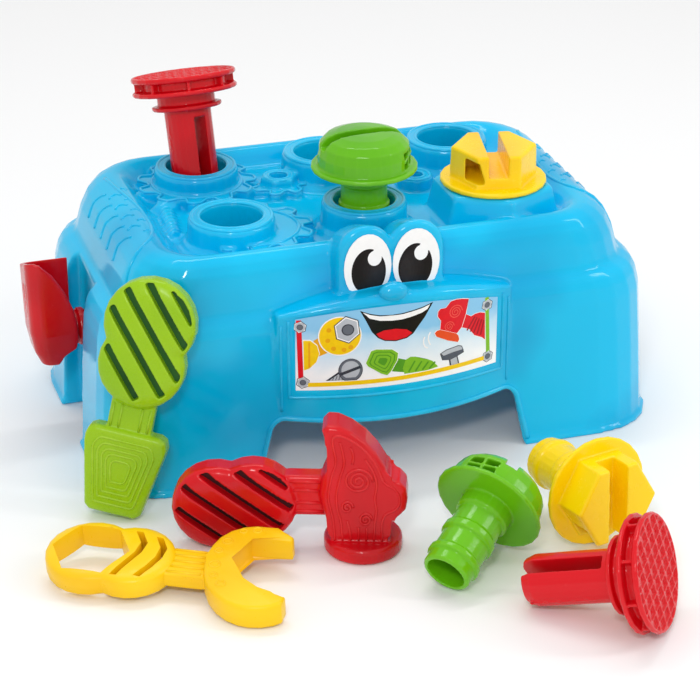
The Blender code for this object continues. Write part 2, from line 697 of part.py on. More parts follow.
WRENCH_HOLE = 20.4
FAR_PRONG = ((99.6, 23.0), (99.8, 26.4), (96.0, 29.2), (90.4, 31.4), (85.0, 32.6), (79.4, 32.6),
             (72.8, 30.6), (66.8, 26.4), (62.4, 20.4), (60.0, 13.0), (59.4, 4.4))
NEAR_PRONG = ((60.0, -4.0), (62.2, -12.0), (65.8, -19.0), (70.8, -25.0), (77.2, -29.8), (84.0, -32.4),
              (89.6, -33.0), (96.0, -32.0), (101.6, -29.6), (105.4, -26.6), (106.0, -20.4))
MOUTH = ((98.0, -18.4), (90.8, -16.2), (80.8, -12.2), (70.2, 4.0), (78.2, 23.0))


def wrench_half(name):
    body = lobed_handle(name, (0.0, 0.0), 23.6, (21.0, 0.0), 22.8, 7.4)
    neck = slab("neck", [(40.0, -10.5), (62.0, -10.5), (62.0, 10.5), (40.0, 10.5)], -4.4, -SEAM, 1.0, 1)
    jaw = slab("jaw", list(reversed(FAR_PRONG + NEAR_PRONG + MOUTH)), -7.0, -SEAM, 3.0, 3)
    combine(body, [neck, jaw], "UNION")
    corners = [math.radians(60.0 * k) for k in range(6)]
    hexagon = [(WRENCH_HOLE * math.cos(a), WRENCH_HOLE * math.sin(a)) for a in corners]
    first = [(16.6, -18.4), (20.4, -10.0), (24.8, 0.0), (26.0, 8.0), (21.0, 17.0)]
    second = [(28.6, -17.4), (33.0, -10.0), (36.2, -2.0), (36.8, 6.0), (32.4, 14.4)]
    cuts = [slab("hexagon", hexagon, -20.0, 5.0), s_slot("slot0", first, 1.8, -20.0, 5.0),
            s_slot("slot1", second, 1.8, -20.0, 5.0)]
    combine(body, cuts, "DIFFERENCE")
    return finish(tidy(body), YELLOW)


def turned(pieces, matrix, x, y, z):
    for piece in pieces:
        piece.matrix_world = Matrix.Translation(Vector((x + BENCH_X, y + BENCH_Y, z)) * MM) @ matrix


def lowest(pieces, matrix):
    low = 1.0
    for piece in pieces:
        for vert in piece.data.vertices:
            low = min(low, (matrix @ vert.co).z)
    return low / MM


def rot(axis, degrees):
    return Matrix.Rotation(math.radians(degrees), 4, axis)


def lay(pieces, matrix, x, y):
    """Rests pieces on the floor in a given attitude."""
    turned(pieces, matrix, x, y, -lowest(pieces, matrix))


def axis_matrix(direction, roll):
    """Turns +Z onto a direction, after a roll about it."""
    up = Vector(direction).normalized()
    return up.to_track_quat("Z", "Y").to_matrix().to_4x4() @ rot("Z", roll)


def build():
    clear_scene()
    bench_shell()
    front_label()
    eye_label("left_eye_label", -1.0)
    eye_label("right_eye_label", 1.0)
    vice_jaw()
    ribbed_stem()
    vice_stop()

    seated = nail("seated_nail")
    turned([seated], axis_matrix((-0.036, 0.273, 1.0), 100.0), -78.2, 55.4, 187.0)
    seated = screw("seated_screw")
    place(seated, 0.0, -ROW, 155.0)
    seated.rotation_euler = (0.0, 0.0, math.radians(3.0))
    seated = bolt("seated_bolt")
    place(seated, COL, -ROW, HEX_TOP + GAP)
    seated.rotation_euler = (0.0, 0.0, math.radians(-12.0))

    lay([nail("loose_nail")], axis_matrix((0.74, -0.61, 0.285), 120.0), 68.0, -296.5)
    lay([screw("loose_screw")], axis_matrix((0.7, 0.59, 0.38), 116.0), 12.4, -207.8)
    lay([bolt("loose_bolt")], axis_matrix((0.21, -0.92, 0.05), 0.0), 71.8, -207.4)

    lay(halves("hammer_front", "hammer_back", hammer_half), rot("Z", HAMMER_TURN), -116.0, -151.7)
    tipped = rot("Z", WRENCH_TURN) @ rot("X", WRENCH_TIP - 90.0)
    lay(halves("wrench_top", "wrench_bottom", wrench_half), tipped, -186.2, -165.5)
    lean = rot("Z", DRIVER_TURN) @ rot("X", DRIVER_BACK) @ rot("Y", DRIVER_ASIDE)
    lay(halves("screwdriver_front", "screwdriver_back", screwdriver_half), lean, -162.9, -107.5)


build()
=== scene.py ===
import math

import bmesh
import bpy
from mathutils import Matrix, Vector
from mathutils.bvhtree import BVHTree


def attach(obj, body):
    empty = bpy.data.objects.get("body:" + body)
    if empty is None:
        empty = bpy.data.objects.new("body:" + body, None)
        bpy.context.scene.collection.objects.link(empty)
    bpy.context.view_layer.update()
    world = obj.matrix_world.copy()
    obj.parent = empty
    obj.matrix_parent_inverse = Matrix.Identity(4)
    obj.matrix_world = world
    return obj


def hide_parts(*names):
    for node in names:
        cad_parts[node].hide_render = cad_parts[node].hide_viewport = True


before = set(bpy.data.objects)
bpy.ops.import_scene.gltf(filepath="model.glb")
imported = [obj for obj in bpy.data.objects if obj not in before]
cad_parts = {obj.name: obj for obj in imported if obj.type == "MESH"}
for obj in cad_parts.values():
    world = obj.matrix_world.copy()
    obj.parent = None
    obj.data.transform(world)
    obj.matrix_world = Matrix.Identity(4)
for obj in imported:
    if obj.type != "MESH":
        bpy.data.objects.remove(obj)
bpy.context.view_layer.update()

MM = 0.001
BENCH = Vector((22.0, 109.2, 0.0))  # where the middle of the bench stands, in millimetres
SEAM_NEAR = 0.2  # vertices this close to a tool's middle plane belong to its seam
SEAM_OVERLAP = 0.5  # how far a half is pushed through the seam so that two halves fuse
OVER_DECK = 180.0  # rays that look down on the bench start this high
PAST_WALL = 160.0  # rays that look at the front or back wall start this far out
COLLARS = ((-76.0, 39.0), (-76.0, -39.0), (0.0, 39.0), (0.0, -39.0), (76.0, 39.0))
TALL_COLLAR = (76.0, -39.0)


def linear(r, g, b):
    """A screen colour, 0 to 255, as linear light."""
    out = []
    for v in (r, g, b):
        v = v / 255.0
        out.append(v / 12.92 if v <= 0.04045 else ((v + 0.055) / 1.055) ** 2.4)
    return (out[0], out[1], out[2], 1.0)


def at(x, y, z):
    """A place given in millimetres from the middle of the bench."""
    return (Vector((x, y, z)) + BENCH) * MM


def around(count, span=2.0):
    """Evenly spaced angles; span is in half turns."""
    return [span * math.pi * k / count for k in range(count)]


# ---------------------------------------------------------------- materials

def link(tree, a, out, b, into):
    tree.links.new(a.outputs[out], b.inputs[into])


def node(tree, kind, **values):
    n = tree.nodes.new(kind)
    for key, value in values.items():
        setattr(n, key, value)
    return n


def noise(tree, coords, scale, detail=3.0, rough=0.5):
    n = node(tree, "ShaderNodeTexNoise")
    n.inputs["Scale"].default_value = scale
    n.inputs["Detail"].default_value = detail
    n.inputs["Roughness"].default_value = rough
    link(tree, coords, "Object", n, "Vector")
    return n


def ramp(tree, source, out, stops):
    n = node(tree, "ShaderNodeValToRGB")
    link(tree, source, out, n, "Fac")
    ends = n.color_ramp.elements
    while len(ends) > 1:
        ends.remove(ends[-1])
    ends[0].position = stops[0][0]
    ends[0].color = stops[0][1]
    for pos, colour in stops[1:]:
        e = ends.new(pos)
        e.color = colour
    return n


def grey(v):
    return (v, v, v, 1.0)


def mix(tree, mode, fac):
    n = node(tree, "ShaderNodeMix", data_type="RGBA", blend_type=mode)
    n.inputs["Factor"].default_value = fac
    return n


def plastic(name, colour, deep, pale, rough, grain, wear):
    """Moulded plastic: drifts of tone, painted shade in the creases, paler rubbed edges, scuffs and orange
    peel.
    """
    mat = bpy.data.materials.new(name)
    mat.use_nodes = True
    tree = mat.node_tree
    shader = tree.nodes["Principled BSDF"]
    coords = node(tree, "ShaderNodeTexCoord")
    drift = noise(tree, coords, 14.0, 2.0)
    shade = ramp(tree, drift, "Fac", ((0.3, deep), (0.52, colour), (0.8, colour)))
    geometry = node(tree, "ShaderNodeNewGeometry")
    worn = ramp(tree, geometry, "Pointiness",
                ((0.44, grey(0.0)), (0.5, grey(0.0)), (0.58, grey(1.0))))
    patch = noise(tree, coords, 60.0, 4.0)
    patchy = ramp(tree, patch, "Fac", ((0.35, grey(0.15)), (0.65, grey(1.0))))
    edge = mix(tree, "MULTIPLY", 1.0)
    link(tree, worn, "Color", edge, "A")
    link(tree, patchy, "Color", edge, "B")
    strength = node(tree, "ShaderNodeMath", operation="MULTIPLY")
    strength.inputs[1].default_value = wear
    link(tree, edge, "Result", strength, 0)
    rubbed = mix(tree, "MIX", 1.0)
    link(tree, strength, "Value", rubbed, "Factor")
    link(tree, shade, "Color", rubbed, "A")
    rubbed.inputs["B"].default_value = pale
    # painted shade: the deep colour darkens concave creases, found by pointiness
    crease_shade = ramp(tree, geometry, "Pointiness", ((0.38, deep), (0.485, grey(1.0))))
    final = mix(tree, "MULTIPLY", 0.35)
    link(tree, rubbed, "Result", final, "A")
    link(tree, crease_shade, "Color", final, "B")
    link(tree, final, "Result", shader, "Base Color")
    scuff = noise(tree, coords, 170.0, 6.0, 0.7)
    dull = node(tree, "ShaderNodeMapRange")
    dull.inputs["From Min"].default_value = 0.35
    dull.inputs["From Max"].default_value = 0.75
    dull.inputs["To Min"].default_value = rough * 0.8
    dull.inputs["To Max"].default_value = rough * 1.6
    link(tree, scuff, "Fac", dull, "Value")
    link(tree, dull, "Result", shader, "Roughness")
    peel = noise(tree, coords, 900.0, 2.0)
    bump = node(tree, "ShaderNodeBump")
    bump.inputs["Strength"].default_value = grain
    bump.inputs["Distance"].default_value = 0.001
    link(tree, peel, "Fac", bump, "Height")
    link(tree, bump, "Normal", shader, "Normal")
    shader.inputs["Specular IOR Level"].default_value = 0.32
    return mat


def printed(name, colour, tone=0.08):
    """Ink on a sticker: an even colour with a faint press grain."""
    mat = bpy.data.materials.new(name)
    mat.use_nodes = True
    tree = mat.node_tree
    shader = tree.nodes["Principled BSDF"]
    coords = node(tree, "ShaderNodeTexCoord")
    grain = noise(tree, coords, 420.0, 4.0)
    low = (colour[0] * (1 - tone), colour[1] * (1 - tone), colour[2] * (1 - tone), 1.0)
    shade = ramp(tree, grain, "Fac", ((0.3, low), (0.7, colour)))
    link(tree, shade, "Color", shader, "Base Color")
    fine = noise(tree, coords, 1500.0, 2.0)
    bump = node(tree, "ShaderNodeBump")
    bump.inputs["Strength"].default_value = 0.02
    bump.inputs["Distance"].default_value = 0.0005
    link(tree, fine, "Fac", bump, "Height")
    link(tree, bump, "Normal", shader, "Normal")
    shader.inputs["Roughness"].default_value = 0.3
    shader.inputs["Specular IOR Level"].default_value = 0.2
    return mat


def label_paper(name):
    """The sticker's ground: pale blue above, fading to white below."""
    mat = printed(name, linear(250, 252, 255))
    tree = mat.node_tree
    shader = tree.nodes["Principled BSDF"]
    coords = node(tree, "ShaderNodeTexCoord")
    split = node(tree, "ShaderNodeSeparateXYZ")
    link(tree, coords, "Object", split, "Vector")
    height = node(tree, "ShaderNodeMapRange")
    height.inputs["From Min"].default_value = 0.056
    height.inputs["From Max"].default_value = 0.1
    link(tree, split, "Z", height, "Value")
    cloud = noise(tree, coords, 60.0, 3.0)
    drift = node(tree, "ShaderNodeMath", operation="MULTIPLY_ADD")
    drift.inputs[1].default_value = 0.3
    link(tree, cloud, "Fac", drift, 0)
    link(tree, height, "Result", drift, 2)
    sky = ramp(tree, drift, "Value",
               ((0.3, linear(252, 253, 255)), (0.75, linear(190, 224, 246)),
                (1.15 / 1.3, linear(140, 200, 238))))
    link(tree, sky, "Color", shader, "Base Color")
    return mat


# each plastic: its colour, its deeper tone, which also paints the shade in its creases, its rubbed colour,
# then roughness, grain and wear
BLUE = plastic("moulded_blue", linear(0, 188, 234), linear(0, 166, 216), linear(110, 212, 244),
               0.12, 0.02, 0.25)
RED = plastic("moulded_red", linear(214, 6, 22), linear(180, 4, 16), linear(240, 70, 72),
              0.18, 0.03, 0.25)
GREEN = plastic("moulded_green", linear(148, 192, 10), linear(120, 172, 8), linear(186, 218, 84),
                0.26, 0.03, 0.3)
SCREW_GREEN = plastic("screw_green", linear(104, 184, 16), linear(80, 160, 14), linear(164, 216, 84),
                      0.16, 0.03, 0.3)
YELLOW = plastic("moulded_yellow", linear(250, 204, 0), linear(242, 184, 0), linear(255, 222, 60),
                 0.34, 0.03, 0.25)
BOLT_YELLOW = plastic("bolt_yellow", linear(254, 216, 2), linear(246, 192, 0), linear(255, 236, 96),
                      0.22, 0.03, 0.25)
# painted shade: colours for dark sheets on the floors of the tools' slots, which lie in shade
SLOT_SHADE_RED = plastic("slot_shade_red", linear(60, 8, 14), linear(40, 6, 10), linear(80, 16, 22),
                   0.5, 0.05, 0.1)
SLOT_SHADE_GREEN = plastic("slot_shade_green", linear(36, 92, 30), linear(26, 70, 24), linear(50, 110, 40),
                     0.5, 0.05, 0.1)
PAPER = label_paper("label_ground")
EYE_WHITE = printed("eye_white", linear(250, 250, 250), 0.03)
PUPIL = printed("eye_black", linear(24, 23, 24), 0.25)
INK = {
    "black": PUPIL,
    "rose": printed("ink_rose", linear(242, 88, 78)),
    "slate": printed("ink_slate", linear(86, 92, 104)),
    "white": EYE_WHITE,
    "red": printed("ink_red", linear(228, 24, 40)),
    "deep_red": printed("ink_deep_red", linear(168, 16, 30)),
    "orange": printed("ink_orange", linear(236, 82, 36)),
    "yellow": printed("ink_yellow", linear(252, 208, 20)),
    "amber": printed("ink_amber", linear(240, 172, 24)),
    "green": printed("ink_green", linear(132, 194, 46)),
    "deep_green": printed("ink_deep_green", linear(88, 158, 40)),
    "steel": printed("ink_steel", linear(188, 194, 202)),
    "dark_steel": printed("ink_dark_steel", linear(104, 110, 120)),
    "outline": printed("ink_outline", linear(58, 62, 72)),
}
for step in range(5):
    coal = linear(27 + 4 * step, 26 + 4 * step, 28 + 4 * step)
    INK["coal%d" % step] = printed("ink_coal%d" % step, coal, 0.15)


# ---------------------------------------------------------------- mesh helpers

def add_rings(bm, rings, closed=False):
    """A skin through rings of equal count; the ends are capped unless the rings close on themselves."""
    rows = []
    for ring in rings:
        rows.append([bm.verts.new(p) for p in ring])
    pairs = list(zip(rows, rows[1:]))
    if closed:
        pairs.append((rows[-1], rows[0]))
    count = len(rows[0])
    for low, high in pairs:
        for k in range(count):
            n = (k + 1) % count
            bm.faces.new((low[k], low[n], high[n], high[k]))
    if not closed:
        bm.faces.new(list(reversed(rows[0])))
        bm.faces.new(rows[-1])


def add_rod(bm, points, radius, sides=8, closed=False):
    """A round rod along points in metres. radius is one length, or one for each point."""
    count = len(points)
    radii = radius if isinstance(radius, (list, tuple)) else [radius] * count
    side = None
    rings = []
    for k in range(count):
        before = points[(k - 1) % count] if closed or k > 0 else points[k]
        after = points[(k + 1) % count] if closed or k < count - 1 else points[k]
        along = (after - before).normalized()
        if side is None:
            side = along.orthogonal().normalized()
        side = (side - along * side.dot(along)).normalized()
        up = along.cross(side)
        rings.append([points[k] + (side * math.cos(a) + up * math.sin(a)) * radii[k]
                      for a in around(sides)])
    add_rings(bm, rings, closed)


def add_box(bm, matrix, x0, x1, y0, y1, z0, z1):
    """A block in millimetres of a local frame."""
    corners = ((x0, y0), (x1, y0), (x1, y1), (x0, y1))
    add_rings(bm, [[matrix @ (Vector((x, y, z)) * MM) for x, y in corners] for z in (z0, z1)])


def add_ball(bm, centre, rx, ry, rz):
    """A ball with a radius of its own on each axis, in metres."""
    rings = []
    for a in around(16, 1.0)[1:]:
        wide = math.sin(a)
        rings.append([centre + Vector((rx * wide * math.cos(b), ry * wide * math.sin(b), rz * math.cos(a)))
                      for b in around(28)])
    add_rings(bm, rings)


def mesh_object(name, bm, material):
    """Turns the bmesh into an object in the scene; material is one material or a list."""
    bmesh.ops.recalc_face_normals(bm, faces=bm.faces[:])
    mesh = bpy.data.meshes.new(name)
    bm.to_mesh(mesh)
    bm.free()
    obj = bpy.data.objects.new(name, mesh)
    bpy.context.scene.collection.objects.link(obj)
    materials = material if isinstance(material, list) else [material]
    for m in materials:
        obj.data.materials.append(m)
    return obj


def smooth_shading(obj):
    for face in obj.data.polygons:
        face.use_smooth = True


def settle(obj):
    """Applies the object's modifiers to its mesh."""
    graph = bpy.context.evaluated_depsgraph_get()
    mesh = bpy.data.meshes.new_from_object(obj.evaluated_get(graph))
    mesh.name = obj.name
    obj.modifiers.clear()
    obj.data = mesh


def finish_skin(obj, sources, body):
    """Puts the visible skin on its body in place of the CAD nodes it was made from."""
    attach(obj, body)
    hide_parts(*sources)


def moulded(name, sources, body, material, voxel, rounds, relief=None, hollow=False):
    """One softly rounded skin over CAD nodes, with relief fused on before the rounding."""
    bm = bmesh.new()
    for source in sources:
        bm.from_mesh(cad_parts[source].data)
    if relief:
        relief(bm)
    obj = mesh_object(name, bm, material)
    skin = obj.modifiers.new("skin", "REMESH")
    skin.mode = "VOXEL"
    skin.voxel_size = voxel * MM * 1.0
    soften = obj.modifiers.new("soften", "SMOOTH")
    soften.factor = 0.5
    soften.iterations = max(1, int(rounds / (1.0)))
    settle(obj)
    if hollow:
        outer_only(obj)
    obj.data.materials.clear()
    obj.data.materials.append(material)
    smooth_shading(obj)
    finish_skin(obj, sources, body)


def bevelled(name, sources, body, material, width, relief):
    """A skin that keeps the CAD's flat faces and crisp walls, with only its sharp edges eased."""
    bm = bmesh.new()
    for source in sources:
        bm.from_mesh(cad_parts[source].data)
    relief(bm)
    bmesh.ops.remove_doubles(bm, verts=bm.verts[:], dist=0.005 * MM)
    bmesh.ops.dissolve_limit(bm, angle_limit=math.radians(1.0), verts=bm.verts[:], edges=bm.edges[:])
    obj = mesh_object(name, bm, material)
    ease = obj.modifiers.new("ease", "BEVEL")
    ease.width = width * MM
    ease.segments = 3
    ease.limit_method = "ANGLE"
    ease.angle_limit = math.radians(38.0)
    settle(obj)
    smooth_shading(obj)
    obj.data.set_sharp_from_angle(angle=math.radians(38.0))
    finish_skin(obj, sources, body)


def outer_only(obj):
    """Drops every separate skin but the one that reaches furthest, so no hidden inner walls stay."""
    bm = bmesh.new()
    bm.from_mesh(obj.data)
    bm.verts.ensure_lookup_table()
    seen = set()
    best = None
    for start in bm.verts:
        if start.index in seen:
            continue
        island = [start]
        seen.add(start.index)
        for vert in island:
            for edge in vert.link_edges:
                other = edge.other_vert(vert)
                if other.index not in seen:
                    seen.add(other.index)
                    island.append(other)
        reach = max(v.co.x for v in island) - min(v.co.x for v in island)
        if best is None or reach > best[0]:
            best = (reach, set(v.index for v in island))
    bmesh.ops.delete(bm, geom=[v for v in bm.verts if v.index not in best[1]], context="VERTS")
    bm.to_mesh(obj.data)
    bm.free()


def close_seam(matrix):
    """Lets a tool's two halves overlap at their seam, so that they fuse into one skin."""
    back = matrix.inverted()

    def relief(bm):
        for vert in bm.verts:
            local = back @ vert.co
            if abs(local.y) < SEAM_NEAR * MM:
                local.y = -math.copysign(SEAM_OVERLAP * MM, local.y)
                vert.co = matrix @ local
    return relief


def joined_seam(matrix):
    """Brings a tool's two solid halves together at their seam and drops the faces between them."""
    back = matrix.inverted()

    def relief(bm):
        at_seam = set()
        for vert in bm.verts:
            local = back @ vert.co
            if abs(local.y) < SEAM_NEAR * MM:
                local.y = 0.0
                vert.co = matrix @ local
                at_seam.add(vert)
        inner = [face for face in bm.faces if all(vert in at_seam for vert in face.verts)]
        bmesh.ops.delete(bm, geom=inner, context="FACES")
    return relief


def spread(points, gap):
    """Points in millimetres resampled about every gap along a line."""
    out = [points[0]]
    for a, b in zip(points, points[1:]):
        a = Vector(a)
        b = Vector(b)
        steps = max(1, int((b - a).length / gap))
        for k in range(1, steps + 1):
            out.append(tuple(a.lerp(b, k / steps)))
    return out


def rounded_line(points, gap, passes=6):
    """The same points, with the line's corners eased."""
    line = [Vector(p) for p in spread(points, gap)]
    for _ in range(passes):
        line = [line[0]] + [(line[k - 1] + line[k] * 2.0 + line[k + 1]) / 4.0
                            for k in range(1, len(line) - 1)] + [line[-1]]
    return line


def winding(cx, cz, r, turns, steps, shrinkage, squash=1.0):
    """Points that wind inwards; steps is how many there are in one turn."""
    count = int(turns * steps)
    line = []
    for k in range(count + 1):
        a = 2.0 * math.pi * turns * k / count
        reach = r * (1.0 - shrinkage * k / count)
        line.append((cx + reach * math.cos(a) * squash, cz + reach * math.sin(a)))
    return line


# ---------------------------------------------------------------- bench

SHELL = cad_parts["bench_shell"]
shell_mesh = bmesh.new()
shell_mesh.from_mesh(SHELL.data)
SHELL_TREE = BVHTree.FromBMesh(shell_mesh)
shell_mesh.free()


def cast(x, y, z, dx, dy, dz, sink=0.0):
    """Where a ray meets the bench, sunk a little along the ray. Millimetres from the bench's middle."""
    hit = SHELL_TREE.ray_cast(at(x, y, z), Vector((dx, dy, dz)))[0]
    if hit is None:
        return None
    return hit + Vector((dx, dy, dz)) * sink * MM


def dropped(points, sink):
    """Points dropped on the bench from above; those that miss it are left out."""
    hits = [cast(p[0], p[1], OVER_DECK, 0.0, 0.0, -1.0, sink) for p in points]
    return [h for h in hits if h is not None]


def arch_points(half_low, half_top, top, corner, shift, dip):
    """The outline of an arch with round shoulders, whose top edge dips by dip in the middle."""
    points = [(shift + half_low, 3.4)]
    for k in range(7):
        a = math.radians(5.0 + 85.0 * k / 6)
        points.append((shift + half_top - corner + corner * math.cos(a),
                       top - corner + corner * math.sin(a)))
    for k in range(1, 8):
        x = (half_top - corner) * (1.0 - 2.0 * k / 8)
        points.append((shift + x, top - dip * (1.0 - (x / (half_top - corner)) ** 2)))
    for k in range(7):
        a = math.radians(90.0 + 85.0 * k / 6)
        points.append((shift - half_top + corner + corner * math.cos(a),
                       top - corner + corner * math.sin(a)))
    points.append((shift - half_low, 3.4))
    return points


def band_arc(bm, side, x0, x1, y0, rise, skew, radius):
    """One raised arc on the rounded end; it runs inwards from x0 to x1 and hooks towards the front."""
    arc = []
    for j in range(15):
        t = j / 14.0
        lift = math.sin(math.pi * min(1.0, 0.08 + 0.84 * t)) ** 0.7
        arc.append((side * (x0 + (x1 - x0) * t), y0 + rise * lift - skew * t * t))
    add_rod(bm, dropped(arc, 0.1), radius * MM, 8)


def end_scallops(bm, side):
    """Three rows of arcs over the rounded end and a border round them."""
    for k in range(5):
        band_arc(bm, side, 140.6, 130.8, 33.4 - 15.9 * k, 4.6, 3.0, 0.8)
    for k in range(4):
        band_arc(bm, side, 130.2, 123.8, 23.4 - 15.7 * k, 3.4, 1.6, 0.75)
    for k in range(5):
        band_arc(bm, side, 123.2, 119.0, 30.0 - 15.6 * k, 2.2, 0.8, 0.65)
    line = [(side * 126.5, 52.0, 0.0), (side * 123.9, 33.4, 0.0), (side * 120.9, 17.4, 0.0),
            (side * 118.3, 3.3, 0.0), (side * 117.2, -13.0, 0.0), (side * 117.4, -24.3, 0.0),
            (side * 119.6, -37.0, 0.0), (side * 123.7, -45.4, 0.0), (side * 130.0, -50.6, 0.0),
            (side * 135.6, -53.6, 0.0), (side * 138.4, -55.6, 0.0)]
    path = dropped(rounded_line(line, 2.0), 0.2)
    for z in (112.0, 106.0, 101.0):
        path.append(cast(side * 190.0, -57.5, z, -side, 0.0, 0.0, 0.2))
    add_rod(bm, path, 1.1 * MM, 8)


def ring_at(bm, x, y, z, radius, thick, sides=56):
    """A level ring round an upright axis."""
    ring = [at(x + radius * math.cos(a), y + radius * math.sin(a), z) for a in around(sides)]
    add_rod(bm, ring, thick * MM, 10, True)


def deck_runs(points, low, high):
    """Points dropped on the bench, cut into runs that stay between two heights."""
    runs = [[]]
    for p in points:
        hit = cast(p[0], p[1], OVER_DECK, 0.0, 0.0, -1.0)
        if hit is not None and low * MM < hit.z < high * MM:
            runs[-1].append(hit)
        elif runs[-1]:
            runs.append([])
    return [run for run in runs if len(run) > 2]


def gear_edge(bm, cx, cy, root, tip, teeth, turn, radius, top):
    """A raised line along a gear plate's teeth, with a second one inside it."""
    step = 2.0 * math.pi / teeth
    tooth = ((0.0, root), (0.14, root), (0.28, root), (0.4, tip), (0.5, tip + 0.5),
             (0.6, tip + 0.5), (0.76, tip))
    outer = []
    inner = []
    for k in range(teeth + 1):
        for part, reach in tooth:
            a = turn + (k + part) * step
            outer.append((cx + (reach - 1.2) * math.cos(a), cy + (reach - 1.2) * math.sin(a)))
            inner.append((cx + (root - 3.2) * math.cos(a), cy + (root - 3.2) * math.sin(a)))
    for line in (outer, inner):
        for run in deck_runs(line, top - 1.0, top + 0.8):
            add_rod(bm, run, radius * MM, 8)


def screw_relief(bm):
    """A half-sunk screw lying on the deck beside the left sockets."""
    path = [(-101.0 - 0.1 * (10.0 - y), y) for y in (10.0, -4.0, -18.0, -30.0)]
    add_rod(bm, [at(x, y, 120.4) for x, y in path], [3.8 * MM, 3.7 * MM, 3.3 * MM, 1.2 * MM], 12)
    for k in range(8):
        y = 6.0 - 4.4 * k
        x = -101.0 - 0.1 * (10.0 - y)
        r = 4.8 - 0.12 * k
        add_rod(bm, [at(x + r * math.cos(a), y + 1.6 * math.cos(a), 120.4 + r * math.sin(a))
                     for a in [math.pi * j / 10 for j in range(11)]], 0.75 * MM, 6)
    add_ball(bm, at(-100.0, 15.5, 120.6), 8.2 * MM, 5.6 * MM, 5.2 * MM)


def wall_line(bm, points, origin_y, radius, sides):
    """A raised line along points in X and Z, laid on the front or back wall."""
    away = -math.copysign(1.0, origin_y)
    hits = [cast(x, origin_y, z, 0.0, away, 0.0, 0.1) for x, z in points]
    add_rod(bm, [p for p in hits if p is not None], radius * MM, sides)


def along_wall(points):
    """Points in X and Z resampled closely."""
    return [(x, z) for x, _, z in spread([(x, 0.0, z) for x, z in points], 2.5)]


def bench_masses(bm):
    """Relief thick enough to melt into the shell."""
    screw_relief(bm)
    for x, y in COLLARS:
        ring_at(bm, x, y, 121.0, 25.6, 2.0)
    for side in (-1.0, 1.0):
        arch = arch_points(24.2, 20.2, 42.6, 8.6, 4.0, 0.0)
        line = spread([(0.0, y, z) for y, z in arch], 2.5)
        end = [cast(side * 220.0, y, z, -side, 0.0, 0.0, 0.6) for _, y, z in line]
        end = [p for p in end if p is not None and abs(p.x - BENCH.x * MM) > 0.14]
        add_rod(bm, end, 2.3 * MM, 10)


def bench_lines():
    """Crisp raised lines, half sunk in the shell and left unmelted so that their edges catch light."""
    bm = bmesh.new()
    for wall, dip in ((-PAST_WALL, 2.3), (PAST_WALL, 0.0)):
        wall_line(bm, along_wall(arch_points(78.9, 72.4, 37.8, 9.6, 0.0, dip)), wall, 1.5, 10)
    for side in (-1.0, 1.0):
        end_scallops(bm, side)
    for x, y in COLLARS:
        ring_at(bm, x, y, 135.9, 22.0, 1.1)
        ring_at(bm, x, y, 135.9, 18.2, 1.1)
    ring_at(bm, *TALL_COLLAR, 137.6, 18.4, 1.2)
    ring_at(bm, -31.0, 25.0, 129.5, 8.2, 0.9, 32)
    ring_at(bm, -31.0, 25.0, 129.7, 5.8, 0.7, 32)
    ring_at(bm, 46.0, 8.0, 127.3, 8.8, 1.1, 32)
    ring_at(bm, 46.0, 8.0, 127.3, 5.4, 0.9, 32)
    gear_edge(bm, -76.0, 39.0, 29.0, 34.5, 11, 0.1, 0.95, 126.4)
    gear_edge(bm, -64.0, -37.0, 29.0, 34.5, 11, 0.25, 0.95, 126.6)
    gear_edge(bm, -31.0, 25.0, 13.0, 17.2, 7, 0.2, 0.85, 124.6)
    label_edge = [(-61.2, 96.0), (-61.2, 50.6)]
    label_edge += [(x, 50.6) for x in (-40.0, -20.0, 0.0, 20.0, 40.0)]
    label_edge += [(61.2, 50.6), (61.2, 96.0)]
    wall_line(bm, along_wall(label_edge), -PAST_WALL, 0.9, 8)
    for x in (-65.0, 65.0):
        wall_line(bm, [(x, z) for z in range(42, 95, 3)], -PAST_WALL, 0.8, 8)
    add_ball(bm, at(-4.6, -104.4, 109.0), 8.2 * MM, 5.0 * MM, 5.6 * MM)
    obj = mesh_object("bench_lines", bm, BLUE)
    smooth_shading(obj)
    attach(obj, "bench")


moulded("bench_skin", ["bench_shell"], "bench", BLUE, 1.2, 3, bench_masses)
bench_lines()

for name, sheet in (("front_label", PAPER), ("left_eye_label", EYE_WHITE), ("right_eye_label", EYE_WHITE)):
    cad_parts[name].data.materials.clear()
    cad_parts[name].data.materials.append(sheet)


# ---------------------------------------------------------------- printed art

SHEET_FACE = 0.3  # the sticker's face, behind the panel's convex face
EYE_FACE = -95.8  # where the eye stickers' flat faces stand


def panel_y(x):
    """The front panel's face: a shallow bow, 13 mm deep over its half width of 67 mm."""
    return -95.0 - 13.0 * (1.0 - (x / 67.0) ** 2)


def outline_disc(cx, cz, rx, rz=None, count=28, start=0.0):
    """A disc's outline; with rz it is an ellipse."""
    rz = rx if rz is None else rz
    return [(cx + rx * math.cos(start + a), cz + rz * math.sin(start + a)) for a in around(count)]


def outline_bar(x0, z0, x1, z1, width):
    """The outline of a straight stroke between two points."""
    dx = x1 - x0
    dz = z1 - z0
    d = math.hypot(dx, dz)
    ux = dx / d * width / 2.0
    uz = dz / d * width / 2.0
    return [(x0 - uz, z0 + ux), (x0 + uz, z0 - ux), (x1 + uz, z1 - ux), (x1 - uz, z1 + ux)]


def print_layers(name, groups, depth, body, curved=True, flat_y=0.0):
    """Ink shapes, each (outline or list of outlines, ink); a group's shapes are stacked a hair apart."""
    bm = bmesh.new()
    inks = []
    for group in groups:
        for level, (outline, ink) in enumerate(group):
            if ink not in inks:
                inks.append(ink)
            for piece in (outline if isinstance(outline[0], list) else [outline]):
                add_print(bm, piece, depth - 0.03 - 0.02 * level, curved, flat_y, inks.index(ink))
    obj = mesh_object(name, bm, [INK[i] for i in inks])
    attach(obj, body)


